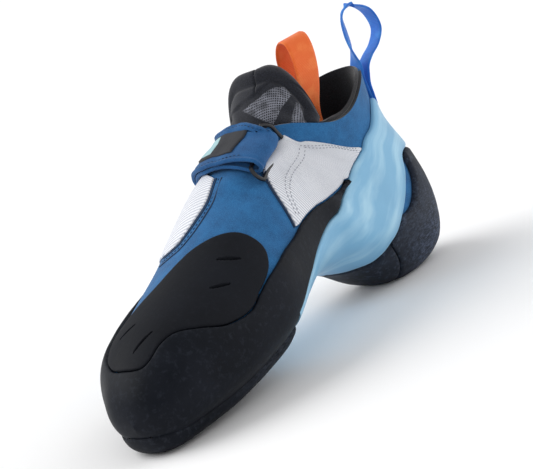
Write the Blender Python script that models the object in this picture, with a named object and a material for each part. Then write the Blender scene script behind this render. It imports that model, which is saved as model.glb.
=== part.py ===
"""A right climbing shoe: downturned last, rubber rand and toe patch, tension band, one strap.

Metres, +Z up. The toe points to -Y, the inner side of the foot is +X, and the shoe stands on
the floor Z = 0 on a flat under the toes and a flat under the heel.
"""

import functools
import math

import bmesh
import bpy
from mathutils import Quaternion, Vector

# Driving sizes of the last
LENGTH = 0.236
BALL_WIDTH = 0.080
HEEL_WIDTH = 0.050
INSTEP_HEIGHT = 0.092
BACK_HEIGHT = 0.094
ARCH_RISE = 0.021
COLLAR_DIP = 0.012
CENTRE_X = 0.0026
CENTRE_Y = -0.0003

# Thicknesses, measured outwards from the last
GAP = 0.0003
UPPER_WALL = 0.0016
PANEL_THICKNESS = 0.0008
RAND_THICKNESS = 0.0020
PATCH_THICKNESS = 0.0017
BAND_THICKNESS = 0.0024
HEEL_THICKNESS = 0.0024
MIDSOLE_THICKNESS = 0.0020
OUTSOLE_THICKNESS = 0.0034
INSOLE_THICKNESS = 0.0012
FLAT_DEPTH = 0.0005
STACK_HEIGHT = GAP + MIDSOLE_THICKNESS + GAP + OUTSOLE_THICKNESS - FLAT_DEPTH

# Strap, ring and badge
STRAP_WIDTH = 0.0265
STRAP_THICKNESS = 0.0020
RING_WIRE = 0.0018
RING_REACH = 0.0030
RING_DEPTH = 0.0050
BADGE_THICKNESS = 0.0007
BADGE_WIDTH = 0.0165
BADGE_GIRTHS = (0.935, 1.120)

# Tongue and pull loops
TONGUE_THICKNESS = 0.0022
TONGUE_RISE = 0.030
CUFF_RISE = 0.0022
TONGUE_LOOP_WIDTH = 0.013
TONGUE_LOOP_HEIGHT = 0.036
TONGUE_LOOP_SPREAD = 0.014
TONGUE_LOOP_FOOT = (16.5, 0.535)
TONGUE_LOOP_INSET = 0.0115
TONGUE_LOOP_LIFT = 0.007
TONGUE_LOOP_FACING = (0.28, 0.95, 0.11)
HEEL_LOOP_WIDTH = 0.008
HEEL_LOOP_HEIGHT = 0.031
HEEL_LOOP_SPREAD = 0.020
HEEL_LOOP_FACING = (0.97, -0.26, 0.0)
WEBBING_THICKNESS = 0.0011
LINING_THICKNESS = 0.0012
HALF_GIRTH_LENGTH = 0.100
INSTEP_GIRTH_LENGTH = 0.072
SECTION_LENGTH = 0.014
STRAP_CENTRE = -0.0105
STRAP_SWEEP = 0.040

# Mesh fineness: pattern lines per section of the last and per half girth
LINES_PER_SECTION = 2
LINES_PER_HALF_GIRTH = 12

# Sections of the last. "under" is the underside or the back line, "top" the ridge or the throat.
# along: shares of LENGTH. arch: share of ARCH_RISE. back: share of BACK_HEIGHT.
# top_z: share of INSTEP_HEIGHT. under_x, top_x: shares of BALL_WIDTH. medial, lateral: half
# widths as shares of the width there, which goes from BALL_WIDTH to HEEL_WIDTH with heel.
# widest: share of the height. low, high: powers of the lower and upper curve. dip: of COLLAR_DIP.
COLUMNS = ("under_y", "arch", "back", "top_y", "top_z", "under_x", "top_x",
           "medial", "lateral", "heel", "widest", "low", "high", "dip")
SECTIONS = {
    "toe tip": (-0.5, 0.44, 0.0, -0.5, 0.163, 0.16, 0.16, 0.0, 0.0, 0.0, 0.5, 2.0, 2.0, 0.0),
    "toe end": (-0.486, 0.13, 0.0, -0.492, 0.272, 0.142, 0.142, 0.125, 0.135, 0.0, 0.5, 2.1, 2.0, 0.0),
    "toe box": (-0.453, 0.0, 0.0, -0.466, 0.362, 0.108, 0.118, 0.222, 0.222, 0.0, 0.43, 2.4, 2.0, 0.0),
    "great toe": (-0.396, 0.0, 0.0, -0.417, 0.458, 0.045, 0.092, 0.325, 0.331, 0.0, 0.4, 2.6, 2.0, 0.0),
    "little toe": (-0.318, 0.05, 0.0, -0.347, 0.53, -0.015, 0.085, 0.41, 0.429, 0.0, 0.38, 2.7, 1.9, 0.0),
    "fore ball": (-0.231, 0.21, 0.0, -0.275, 0.602, -0.045, 0.072, 0.462, 0.49, 0.0, 0.38, 2.7, 1.8, 0.0),
    "ball": (-0.144, 0.42, 0.0, -0.199, 0.69, -0.063, 0.045, 0.481, 0.5, 0.0, 0.38, 2.6, 1.8, 0.0),
    "waist front": (-0.055, 0.7, 0.0, -0.125, 0.793, -0.08, 0.0, 0.441, 0.478, 0.0, 0.4, 2.4, 1.85, 0.0),
    "arch": (0.034, 0.94, 0.0, -0.068, 0.88, -0.078, -0.03, 0.437, 0.49, 0.3, 0.42, 2.3, 1.95, 0.0),
    "waist back": (0.119, 0.86, 0.0, -0.028, 0.924, -0.062, -0.042, 0.44, 0.5, 0.55, 0.45, 2.2, 2.1, 0.0),
    "heel front": (0.203, 0.48, 0.0, -0.004, 0.948, -0.052, -0.042, 0.482, 0.53, 0.8, 0.46, 2.2, 2.2, 0.0),
    "heel seat": (0.288, 0.1, 0.0, 0.009, 0.961, -0.05, -0.04, 0.51, 0.55, 1.0, 0.46, 2.2, 2.3, 0.08),
    "heel strike": (0.377, 0.0, 0.0, 0.017, 0.973, -0.05, -0.04, 0.495, 0.535, 1.0, 0.46, 2.3, 2.3, 0.17),
    "heel curve": (0.458, 0.0, 0.055, 0.024, 0.985, -0.05, -0.04, 0.48, 0.52, 1.0, 0.46, 2.3, 2.3, 0.33),
    "heel back": (0.499, 0.0, 0.24, 0.03, 0.995, -0.05, -0.04, 0.465, 0.505, 1.0, 0.46, 2.3, 2.3, 0.5),
    "heel hollow": (0.47, 0.0, 0.48, 0.034, 1.003, -0.05, -0.04, 0.455, 0.49, 1.0, 0.46, 2.3, 2.3, 0.67),
    "ankle": (0.418, 0.0, 0.735, 0.038, 1.012, -0.048, -0.038, 0.428, 0.48, 1.0, 0.46, 2.2, 2.3, 0.83),
    "collar": (0.400, 0.0, 1.0, 0.042, 1.02, -0.012, -0.038, 0.432, 0.49, 1.0, 0.47, 2.0, 2.3, 1.0),
}
ROWS = tuple(SECTIONS.values())
COLLAR = len(ROWS) - 1
ROUND = 2

# Outlines on the last as (section, girth). Girth runs from the underside, 0, up the inner side
# to the ridge, 1, and down the outer side to 2. Each edge is a smooth curve through its points.
SEAM = 0.0007
RAND_TOP_INNER = ((5.30, 0.648), (5.85, 0.655), (6.64, 0.630), (7.60, 0.580), (9.05, 0.548),
                  (10.84, 0.572), (12.10, 0.596), (12.85, 0.606))
RAND_TOP_OUTER = ((2.60, 1.205), (3.40, 1.235), (4.60, 1.290), (6.10, 1.370), (7.60, 1.420),
                  (9.05, 1.450), (10.84, 1.428), (12.10, 1.404), (12.85, 1.394))
TOE_SEAM = ((5.30, 0.648), (4.85, 0.636), (4.20, 0.672), (3.75, 0.745), (3.35, 0.815),
            (2.90, 0.842), (2.45, 0.850), (2.15, 0.885), (2.02, 0.965), (2.06, 1.080),
            (2.25, 1.155), (2.60, 1.205))
PATCH_BACK = ((2.60, 1.205), (3.31, 1.215), (3.90, 1.175), (4.68, 1.100), (5.43, 1.030),
              (6.01, 0.935), (6.33, 0.860), (6.45, 0.790), (6.38, 0.720), (6.10, 0.684),
              (5.70, 0.678), (5.30, 0.652))
BAND_FRONT = ((16.12, 0.000), (16.24, 0.130), (16.36, 0.240), (16.02, 0.365), (15.68, 0.470),
              (14.40, 0.560), (12.94, 0.585), (11.20, 0.555), (9.26, 0.480), (7.76, 0.432),
              (6.76, 0.408), (6.10, 0.396))
BAND_REAR = ((9.55, 0.000), (9.85, 0.120), (10.25, 0.190), (10.72, 0.270), (11.42, 0.345),
             (12.59, 0.412), (13.67, 0.415), (14.38, 0.385), (14.96, 0.322), (15.12, 0.160),
             (15.15, 0.000))
HEEL_EDGE = ((12.59, 0.412), (13.38, 0.380), (13.88, 0.366), (14.54, 0.338), (14.96, 0.322))
HEEL_SEAM = ((11.20, 0.308), (11.28, 0.200), (11.25, 0.000))
PANEL_INNER = (((15.62, 0.505), (15.68, 0.600), (15.20, 0.695), (14.80, 0.738), (15.30, 0.790)),
               ((15.30, 0.790), (13.50, 0.824), (11.50, 0.826), (9.60, 0.822), (8.80, 0.790)),
               ((8.80, 0.790), (8.15, 0.705), (7.64, 0.590)))
PANEL_OUTER = (((8.15, 1.015), (7.26, 1.015), (6.60, 1.060), (6.20, 1.105)),
               ((6.20, 1.105), (6.14, 1.160), (6.26, 1.230), (6.60, 1.330), (7.10, 1.395)),
               ((9.60, 1.440), (9.90, 1.300), (9.60, 1.170), (8.60, 1.080), (8.15, 1.015)))
LASTING_OPENING = ((1.5, 11.5), 0.125)
SOLE_EDGE = 0.300
SOLE_TOE = ((1.90, 0.300), (1.30, 0.285), (0.85, 0.220), (0.66, 0.120), (0.62, 0.000))
SOLE_BACK = 6.05
RAND_LOWER = 0.215
RAND_END = 13.0
MIDSOLE_FRONT = 0.80
INSOLE_OVERLAP = 0.125
INSOLE_FRONT = 0.40
INSOLE_BACK = 0.90
HEEL_PAD = 0.0048
PAD_HALF_GIRTH = 0.30
PAD_SECTIONS = (9.9, 11.3, 12.9, 14.3)
CUFF_GIRTHS = (-0.655, 0.568)
CUFF_DEPTH = 0.50
TONGUE_GIRTH = 0.95
TONGUE_HALF_GIRTH = 0.355
TONGUE_FOOT = 13.0
TONGUE_LEAN = 32.0
STRAP_PITCH = 26.0
SWEEP_START = 1.08
STRAP_FOLD = 0.845
STRAP_ANCHOR = 1.34
STRAP_END = 1.27
FOLD_POINT = 12
FOLD_END = 15
HEEL_LOOP_FOOT = (16.80, 0.05)


# Pull loops, from the foot of one strand over the top to the foot of the other. out: shares of
# the spread, up: shares of the height, turn: degrees that the webbing turns about its run.
TONGUE_LOOP = (
    (-0.36, -0.36, 0), (-0.34, -0.22, 0), (-0.28, -0.06, 0), (-0.10, 0.10, 0), (0.24, 0.30, 0),
    (0.58, 0.55, 0), (0.76, 0.82, 0), (0.66, 1.00, 0), (0.28, 1.00, 0), (-0.08, 0.80, 0),
    (-0.16, 0.48, 0), (-0.30, 0.16, 0), (-0.42, -0.08, 0), (-0.45, -0.22, 0), (-0.46, -0.36, 0),
)
HEEL_LOOP = (
    (0.08, -0.36, 5), (0.035, -0.20, 10), (0.02, -0.06, 10), (0.07, 0.12, 5), (0.08, 0.25, -20),
    (0.08, 0.42, -42), (0.06, 0.62, -48), (0.08, 0.86, -40), (0.24, 0.985, -25), (0.50, 1.00, -12),
    (0.86, 0.84, 0), (1.00, 0.56, 0), (0.80, 0.34, 0), (0.50, 0.20, 0), (0.30, 0.08, 5),
    (0.20, -0.06, 10), (0.17, -0.20, 10), (0.20, -0.36, 5),
)


def section(u):
    """The table's values at section u, on a Catmull-Rom curve through its rows."""
    i = min(max(math.floor(u), 0), COLLAR - 1)
    t = u - i
    before, here, there, after = (ROWS[min(max(i + k, 0), COLLAR)] for k in (-1, 0, 1, 2))
    values = {}
    for name, a, b, c, d in zip(COLUMNS, before, here, there, after):
        leave, arrive, step = (c - a) / 2, (d - b) / 2, c - b
        bend = 3 * step - 2 * leave - arrive
        values[name] = b + t * (leave + t * (bend + t * (leave + arrive - 2 * step)))
    return values


def on_last(u, girth):
    """The point of the last's surface at section u and that girth."""
    s = section(u)
    v = (girth + 1) % 2 - 1
    angle = math.pi * abs(v)
    high = abs(v) > 0.5
    power = 2 / (s["high"] if high else s["low"])
    across = max(math.sin(angle), 0.0) ** power
    climb = abs(math.cos(angle)) ** power
    rise = s["widest"] + (1 - s["widest"]) * climb if high else s["widest"] * (1 - climb)
    width = BALL_WIDTH + s["heel"] * (HEEL_WIDTH - BALL_WIDTH)
    half = s["medial"] if v > 0 else -s["lateral"]
    x = (s["under_x"] + (s["top_x"] - s["under_x"]) * rise) * BALL_WIDTH + half * width * across
    under = Vector((s["under_y"] * LENGTH,
                    STACK_HEIGHT + s["arch"] * ARCH_RISE + s["back"] * BACK_HEIGHT))
    top = Vector((s["top_y"] * LENGTH, s["top_z"] * INSTEP_HEIGHT))
    line = top - under
    down = Vector((line.y, -line.x)).normalized() if line.length > 1e-9 else Vector((0, -1))
    if down.y > 0:
        down = -down
    point = under + line * rise + down * s["dip"] * COLLAR_DIP * math.sin(math.pi * rise) ** 2
    return Vector((x + CENTRE_X, point.x + CENTRE_Y, point.y))


def outward(u, girth):
    """The unit normal of the last, pointing out of the shoe."""
    if u < 0.05:
        return Vector((0, -1, 0))
    along = on_last(min(u + 0.02, COLLAR), girth) - on_last(u - 0.02, girth)
    round_it = on_last(u, girth + 0.004) - on_last(u, girth - 0.004)
    return along.cross(round_it).normalized()


def skin(u, girth, lift):
    return on_last(u, girth) + lift * outward(u, girth)


@functools.cache
def crossing(i, j, lift):
    """The skin where line i across the last meets line j along it."""
    return skin(i / LINES_PER_SECTION, j / LINES_PER_HALF_GIRTH, lift)


def facet(u, girth, lift):
    """The skin between its four nearest crossings, so that sheets lie on each other's facets."""
    across, along = u * LINES_PER_SECTION, girth * LINES_PER_HALF_GIRTH
    i = min(max(math.floor(across), 0), COLLAR * LINES_PER_SECTION - 1)
    j = math.floor(along)
    s, t = across - i, along - j
    near = crossing(i, j, lift).lerp(crossing(i, j + 1, lift), t)
    far = crossing(i + 1, j, lift).lerp(crossing(i + 1, j + 1, lift), t)
    return near.lerp(far, s)


def smooth_edge(points, steps=2):
    """Points of a smooth curve through the given ones, the ends included."""
    found = []
    for i in range(len(points) - 1):
        ring = [points[min(max(i + k, 0), len(points) - 1)] for k in (-1, 0, 1, 2)]
        for n in range(steps):
            t = n / steps
            spot = []
            for a, b, c, d in zip(*ring):
                leave, arrive, step = (c - a) / 2, (d - b) / 2, c - b
                bend = 3 * step - 2 * leave - arrive
                spot.append(b + t * (leave + t * (bend + t * (leave + arrive - 2 * step))))
            found.append(tuple(spot))
    return found + [points[-1]]


def outline(*edges):
    """One closed outline from edges that follow each other."""
    found = []
    for edge in edges:
        for spot in edge:
            if not found or math.dist(spot, found[-1]) > 1e-5:
                found.append(spot)
    if math.dist(found[0], found[-1]) < 1e-5:
        found.pop()
    return found


def beside(edge, distance):
    """The edge moved to its left by a distance on the last, or to its right if that is negative."""
    moved = []
    for i, (u, v) in enumerate(edge):
        before, after = edge[max(i - 1, 0)], edge[min(i + 1, len(edge) - 1)]
        run = Vector(((after[0] - before[0]) * SECTION_LENGTH,
                      (after[1] - before[1]) * HALF_GIRTH_LENGTH)).normalized()
        moved.append((u - run.y * distance / SECTION_LENGTH,
                      v + run.x * distance / HALF_GIRTH_LENGTH))
    return moved


def mirrored(edge):
    """The same edge on the outer side of the foot."""
    return [(u, ROUND - v) for u, v in edge]


def flat_pattern(*outlines):
    """Flat faces in pattern space (section, girth), cut along the lines of the last's mesh."""
    pattern = bmesh.new()
    for spots in outlines:
        face = pattern.faces.new([pattern.verts.new((u, v, 0)) for u, v in spots])
        face.normal_update()
        if face.normal.z < 0:
            face.normal_flip()
    for axis, per_unit in ((0, LINES_PER_SECTION), (1, LINES_PER_HALF_GIRTH)):
        low = min(vert.co[axis] for vert in pattern.verts)
        high = max(vert.co[axis] for vert in pattern.verts)
        for n in range(math.floor(low * per_unit) + 1, math.ceil(high * per_unit)):
            line = [0.0, 0.0, 0.0]
            direction = [0.0, 0.0, 0.0]
            line[axis] = n / per_unit
            direction[axis] = 1.0
            everything = pattern.verts[:] + pattern.edges[:] + pattern.faces[:]
            bmesh.ops.bisect_plane(pattern, geom=everything, dist=1e-6,
                                   plane_co=line, plane_no=direction)
    bmesh.ops.remove_doubles(pattern, verts=pattern.verts, dist=1e-4)
    return pattern


def closed(mesh):
    bmesh.ops.remove_doubles(mesh, verts=mesh.verts, dist=2e-5)
    bmesh.ops.dissolve_degenerate(mesh, edges=mesh.edges, dist=2e-5)
    bmesh.ops.triangulate(mesh, faces=[f for f in mesh.faces if len(f.verts) > 3])
    bmesh.ops.recalc_face_normals(mesh, faces=mesh.faces)


def lasted(pattern, outer, inner):
    """Wraps a flat pattern on the last: outer and inner give a point for (section, girth)."""
    keep_u = pattern.verts.layers.float.new("section")
    keep_v = pattern.verts.layers.float.new("girth")
    for vert in pattern.verts:
        vert[keep_u], vert[keep_v] = vert.co.x, vert.co.y
        vert.co = outer(vert[keep_u], vert[keep_v])
    bmesh.ops.remove_doubles(pattern, verts=pattern.verts, dist=2e-5)
    bmesh.ops.dissolve_degenerate(pattern, edges=pattern.edges, dist=2e-5)
    grown = bmesh.ops.extrude_face_region(pattern, geom=pattern.faces[:])["geom"]
    for vert in (item for item in grown if isinstance(item, bmesh.types.BMVert)):
        vert.co = inner(vert[keep_u], vert[keep_v])
    closed(pattern)
    return pattern


def material(name, colour, roughness, metallic=0.0):
    made = bpy.data.materials.get(name)
    if made is None:
        made = bpy.data.materials.new(name)
        made.use_nodes = True
        shader = made.node_tree.nodes["Principled BSDF"]
        shader.inputs["Base Color"].default_value = (*colour, 1)
        shader.inputs["Roughness"].default_value = roughness
        shader.inputs["Metallic"].default_value = metallic
    return made


BLUE_KNIT = ("blue_knit", (0.030, 0.160, 0.400), 0.85)
WHITE_ELASTIC = ("white_elastic", (0.80, 0.82, 0.86), 0.85)
BLACK_RUBBER = ("black_rubber", (0.016, 0.018, 0.024), 0.60)
PALE_RUBBER = ("pale_blue_rubber", (0.200, 0.490, 0.720), 0.50)
BLACK_KNIT = ("black_knit", (0.010, 0.011, 0.015), 0.90)
BOARD = ("board", (0.32, 0.30, 0.26), 0.90)
ORANGE_WEBBING = ("orange_webbing", (0.82, 0.160, 0.030), 0.80)
BLUE_WEBBING = ("blue_webbing", (0.020, 0.200, 0.660), 0.75)
BLACK_PLASTIC = ("black_plastic", (0.012, 0.012, 0.014), 0.40)
BADGE = ("badge", (0.012, 0.013, 0.018), 0.60)


def place(name, mesh_edit, finish, collection, smooth=True):
    mesh = bpy.data.meshes.new(name)
    mesh_edit.to_mesh(mesh)
    mesh_edit.free()
    if smooth:
        mesh.shade_smooth()
        mesh.set_sharp_from_angle(angle=math.radians(35))
    made = bpy.data.objects.new(name, mesh)
    made.data.materials.append(material(*finish))
    collection.objects.link(made)
    return made


def between(low, high):
    """Outer and inner surface functions of a sheet between two lifts over the last."""
    return lambda u, v: facet(u, v, high), lambda u, v: facet(u, v, low)


def upper_shell(parts):
    (front, back), half = LASTING_OPENING
    spots = [(0, 0), (front, 0), (front, half), (back, half), (back, 0), (COLLAR, 0),
             (COLLAR, ROUND), (back, ROUND), (back, ROUND - half), (front, ROUND - half),
             (front, ROUND), (0, ROUND)]
    sheet = lasted(flat_pattern(spots), *between(-UPPER_WALL, 0.0))
    return place("upper", sheet, BLUE_KNIT, parts)


def insole(parts):
    (front, back), half = LASTING_OPENING
    wide = half + INSOLE_OVERLAP
    front, back = front - INSOLE_FRONT, back + INSOLE_BACK
    spots = [(front, -wide), (back, -wide), (back, wide), (front, wide)]
    high = -UPPER_WALL - GAP
    sheet = lasted(flat_pattern(spots), *between(high - INSOLE_THICKNESS, high))
    return place("insole", sheet, BOARD, parts)


def midsole(parts):
    wide = RAND_LOWER - SEAM / HALF_GIRTH_LENGTH
    spots = [(MIDSOLE_FRONT, -wide), (SOLE_BACK, -wide), (SOLE_BACK, wide), (MIDSOLE_FRONT, wide)]
    sheet = lasted(flat_pattern(spots), *between(GAP, GAP + MIDSOLE_THICKNESS))
    return place("midsole", sheet, BOARD, parts)


def rand(parts):
    side = smooth_edge([spot for spot in BAND_FRONT if spot[0] < RAND_END][::-1])
    cap = MIDSOLE_FRONT - 0.03
    spots = outline(((0, 0), (cap, 0), (cap, RAND_LOWER), (SOLE_BACK, RAND_LOWER)),
                    beside(side, SEAM),
                    beside(smooth_edge(RAND_TOP_INNER), -SEAM)[::-1],
                    beside(smooth_edge(TOE_SEAM), SEAM),
                    beside(smooth_edge(RAND_TOP_OUTER), SEAM),
                    beside(mirrored(side[::-1]), SEAM),
                    ((SOLE_BACK, ROUND - RAND_LOWER), (cap, ROUND - RAND_LOWER), (cap, ROUND), (0, ROUND)))
    sheet = lasted(flat_pattern(spots), *between(GAP, GAP + RAND_THICKNESS))
    return place("rand", sheet, BLACK_RUBBER, parts)


def outsole(parts):
    top = GAP + MIDSOLE_THICKNESS + GAP
    side = [(SOLE_BACK, SOLE_EDGE)] + smooth_edge(SOLE_TOE)
    spots = outline(side, [(u, -v) for u, v in side[::-1]])

    def ground(u, v):
        point = facet(u, v, top)
        point.z = max(point.z - OUTSOLE_THICKNESS, 0.0)
        return point
    sheet = lasted(flat_pattern(spots), ground, lambda u, v: facet(u, v, top))
    return place("outsole", sheet, BLACK_RUBBER, parts)


def toe_patch(parts):
    spots = outline(smooth_edge(TOE_SEAM), smooth_edge(PATCH_BACK))
    sheet = lasted(flat_pattern(spots), *between(GAP, GAP + PATCH_THICKNESS))
    return place("toe_patch", sheet, BLACK_RUBBER, parts)


def tension_band(parts):
    inner = outline(smooth_edge(BAND_FRONT), ((BAND_FRONT[-1][0], 0),), smooth_edge(BAND_REAR))
    outer = [(u, -v) for u, v in inner]
    sheet = lasted(flat_pattern(inner, outer), *between(GAP, GAP + BAND_THICKNESS))
    return place("tension_band", sheet, PALE_RUBBER, parts)


def ramp(x, start, end):
    t = min(max((x - start) / (end - start), 0.0), 1.0)
    return t * t * (3 - 2 * t)


def heel_outer(u, v):
    """The outside of the heel rubber: a pad under the heel, flat where it meets the floor."""
    front, full, still_full, back = PAD_SECTIONS
    pad = ramp(u, front, full) * (1 - ramp(u, still_full, back))
    pad *= 1 - ramp(abs(v), 0.3 * PAD_HALF_GIRTH, PAD_HALF_GIRTH)
    point = skin(u, v, GAP + HEEL_THICKNESS + HEEL_PAD * pad)
    point.z = max(point.z, 0.0)
    return point


def heel_rubber(name, parts, edge):
    half = [(u, max(v, 0.0)) for u, v in edge]
    spots = outline(half, [(u, -v) for u, v in half[::-1]])
    sheet = lasted(flat_pattern(spots), heel_outer, lambda u, v: facet(u, v, GAP))
    return place(name, sheet, BLACK_RUBBER, parts)


def heel_base(parts):
    side = [spot for spot in smooth_edge(BAND_REAR) if spot[0] < HEEL_SEAM[0][0] - 0.1]
    seam = smooth_edge(HEEL_SEAM)
    return heel_rubber("heel_base", parts,
                       outline(beside(side, -SEAM), beside(seam, -SEAM)))


def heel_cup(parts):
    seam = smooth_edge(HEEL_SEAM)[::-1]
    side = [spot for spot in smooth_edge(BAND_REAR)
            if HEEL_SEAM[0][0] + 0.1 < spot[0] < HEEL_EDGE[0][0] + 0.01]
    top = [spot for spot in smooth_edge(BAND_REAR) if spot[0] > HEEL_EDGE[-1][0] + 0.01]
    return heel_rubber("heel_cup", parts,
                       outline(seam, beside(side, -SEAM), beside(smooth_edge(HEEL_EDGE), -SEAM),
                               beside(top, -SEAM)))


def elastic_panel_inner(parts):
    top, ridge, front = (smooth_edge(edge) for edge in PANEL_INNER)
    lower = [spot for spot in smooth_edge(RAND_TOP_INNER) if 7.7 < spot[0]]
    rear = [spot for spot in smooth_edge(BAND_FRONT)[::-1] if RAND_END + 0.2 < spot[0] < 15.58]
    spots = outline(top, ridge, front, beside(lower, SEAM), beside(rear, SEAM))
    sheet = lasted(flat_pattern(spots), *between(GAP, GAP + PANEL_THICKNESS))
    return place("elastic_panel_inner", sheet, WHITE_ELASTIC, parts)


def elastic_panel_outer(parts):
    front, side, back = (smooth_edge(edge) for edge in PANEL_OUTER)
    lower = [spot for spot in smooth_edge(RAND_TOP_OUTER) if 7.3 < spot[0] < 9.5]
    spots = outline(front, side, beside(lower, -SEAM), back)
    sheet = lasted(flat_pattern(spots), *between(GAP, GAP + PANEL_THICKNESS))
    return place("elastic_panel_outer", sheet, WHITE_ELASTIC, parts)


def strip(rows, columns):
    """A flat unit square, cut into rows along x and columns along y."""
    pattern = bmesh.new()
    bmesh.ops.create_grid(pattern, x_segments=rows, y_segments=columns, size=0.5)
    bmesh.ops.translate(pattern, verts=pattern.verts, vec=(0.5, 0.5, 0))
    return pattern


def collar_cuff(parts):
    """The lining's rim: it stands a little proud of the collar, from the tongue round to it."""
    start, end = CUFF_GIRTHS

    def face(lift):
        def point(s, t):
            v = start + (end - start) * s
            edge = facet(COLLAR, v, lift)
            foot = facet(COLLAR - CUFF_DEPTH, v, lift)
            if t < 0.5:
                return foot.lerp(edge, 2 * t)
            return edge + (edge - foot).normalized() * CUFF_RISE * (2 * t - 1)
        return point
    near = -UPPER_WALL - GAP
    sheet = lasted(strip(26, 2), face(near), face(near - LINING_THICKNESS))
    return place("collar_cuff", sheet, BLACK_KNIT, parts)


def tongue_surface(s, t, lift):
    """The tongue: s across from the inner side, t up from its foot inside the shoe."""
    girth = TONGUE_GIRTH + TONGUE_HALF_GIRTH * (2 * s - 1)
    if t <= 0.5:
        return facet(TONGUE_FOOT + (COLLAR - TONGUE_FOOT) * 2 * t, girth, lift)
    arch = 1 - abs(2 * s - 1) ** 2.6
    rise = (CUFF_RISE + (TONGUE_RISE - CUFF_RISE) * arch) * (2 * t - 1)
    lean = math.radians(TONGUE_LEAN)
    return facet(COLLAR, girth, lift) + rise * Vector((0, math.sin(lean), math.cos(lean)))


def tongue(parts):
    near = -UPPER_WALL - GAP
    far = near - TONGUE_THICKNESS
    sheet = lasted(strip(16, 8), lambda s, t: tongue_surface(s, t, near),
                   lambda s, t: tongue_surface(s, t, far))
    return place("tongue", sheet, BLACK_KNIT, parts)


STRAP_DIRECTION = Vector((0, math.cos(math.radians(STRAP_PITCH)),
                          math.sin(math.radians(STRAP_PITCH))))


def strap_point(girth, c, lift):
    """The point at girth and lift that lies c along the instep from the throat's edge.

    Past the ridge the strap sweeps back towards the heel.
    """
    edge = on_last(COLLAR, girth)
    target = STRAP_DIRECTION.dot(on_last(COLLAR, 1)) + c + STRAP_SWEEP * max(girth - SWEEP_START, 0)
    beyond = target - STRAP_DIRECTION.dot(edge)
    if beyond >= 0:
        return skin(COLLAR, girth, lift) + STRAP_DIRECTION * beyond
    low, high = 5.0, float(COLLAR)
    while high - low > 1e-3:
        middle = (low + high) / 2
        if STRAP_DIRECTION.dot(on_last(middle, girth)) < target:
            low = middle
        else:
            high = middle
    return skin(low, girth, lift)


def fold_turn():
    """The radius of the strap's fold round the ring's bar, in girth."""
    return (RING_WIRE / 2 + 3 * GAP + STRAP_THICKNESS / 2) / INSTEP_GIRTH_LENGTH


def strap_path():
    """Centre line of the folded strap as (girth, lift): out to the ring, round it and back."""
    low = GAP + PANEL_THICKNESS + GAP + STRAP_THICKNESS / 2
    pitch = STRAP_THICKNESS + GAP
    turn = fold_turn()
    radius = turn * INSTEP_GIRTH_LENGTH
    path = [(STRAP_ANCHOR - k * (STRAP_ANCHOR - STRAP_FOLD - 3 * turn) / 8, low) for k in range(9)]
    for k in range(7):
        angle = math.pi * k / 6
        path.append((STRAP_FOLD + turn * (1 - math.sin(angle)),
                     low + radius * (1 - math.cos(angle))))
    high = low + pitch
    start = STRAP_FOLD + 3.6 * turn
    path += [(start + k * (STRAP_END - start) / 7, high) for k in range(8)]
    return path


def strap(parts):
    path = strap_path()
    last = len(path) - 1

    def centre(s, t):
        girth, lift = path[round(s * last)]
        return strap_point(girth, (t - 0.5) * STRAP_WIDTH + STRAP_CENTRE, lift)

    def face(side):
        def point(s, t):
            h = 1 / last
            ahead, behind = centre(min(s + h, 1), t), centre(max(s - h, 0), t)
            wide = centre(s, min(t + 0.25, 1)) - centre(s, max(t - 0.25, 0))
            normal = (ahead - behind).cross(wide).normalized()
            return centre(s, t) + normal * side * STRAP_THICKNESS / 2
        return point
    sheet = lasted(strip(last, 4), face(1), face(-1))
    return place("strap", sheet, BLUE_KNIT, parts)


def strap_ring(parts):
    """A rectangular ring of plastic wire: one bar lies in the strap's fold, one on the panel."""
    low = GAP + PANEL_THICKNESS + GAP + RING_WIRE / 2
    fold_lift = strap_path()[FOLD_POINT][1]
    half = STRAP_WIDTH / 2 + RING_REACH
    back_girth = STRAP_FOLD - RING_DEPTH / HALF_GIRTH_LENGTH
    bar = [-half] + [(t - 0.5) * STRAP_WIDTH for t in (0, 0.25, 0.5, 0.75, 1)] + [half]
    ring = [(STRAP_FOLD + fold_turn(), c, fold_lift) for c in bar]
    ring += [(back_girth, c, low) for c in bar[::-1]]
    spline_points = [strap_point(girth, STRAP_CENTRE + c, lift) for girth, c, lift in ring]
    wire = bpy.data.curves.new("strap_ring", "CURVE")
    wire.dimensions = "3D"
    wire.bevel_depth = RING_WIRE / 2
    wire.bevel_resolution = 1
    spline = wire.splines.new("POLY")
    spline.points.add(len(spline_points) - 1)
    for point, at in zip(spline.points, spline_points):
        point.co = (*at, 1)
    spline.use_cyclic_u = True
    made = bpy.data.objects.new("strap_ring", wire)
    wire.materials.append(material(*BLACK_PLASTIC))
    parts.objects.link(made)
    return made


def strap_top(girth):
    """The lift of the strap's outer face on its upper layer, from the fold's end on."""
    layer = strap_path()[FOLD_END:]
    for (near, low_lift), (far, high_lift) in zip(layer, layer[1:]):
        if girth <= far:
            share = (girth - near) / (far - near)
            return low_lift + (high_lift - low_lift) * share + STRAP_THICKNESS / 2
    return layer[-1][1] + STRAP_THICKNESS / 2


def strap_badge(parts):
    """A thin bare badge on the strap's upper layer."""
    start, end = BADGE_GIRTHS

    def face(lift):
        def point(s, t):
            girth = start + s * (end - start)
            return strap_point(girth, (t - 0.5) * BADGE_WIDTH + STRAP_CENTRE, strap_top(girth) + lift)
        return point
    sheet = lasted(strip(5, 3), face(2 * GAP + BADGE_THICKNESS), face(2 * GAP))
    return place("strap_badge", sheet, BADGE, parts)


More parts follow.
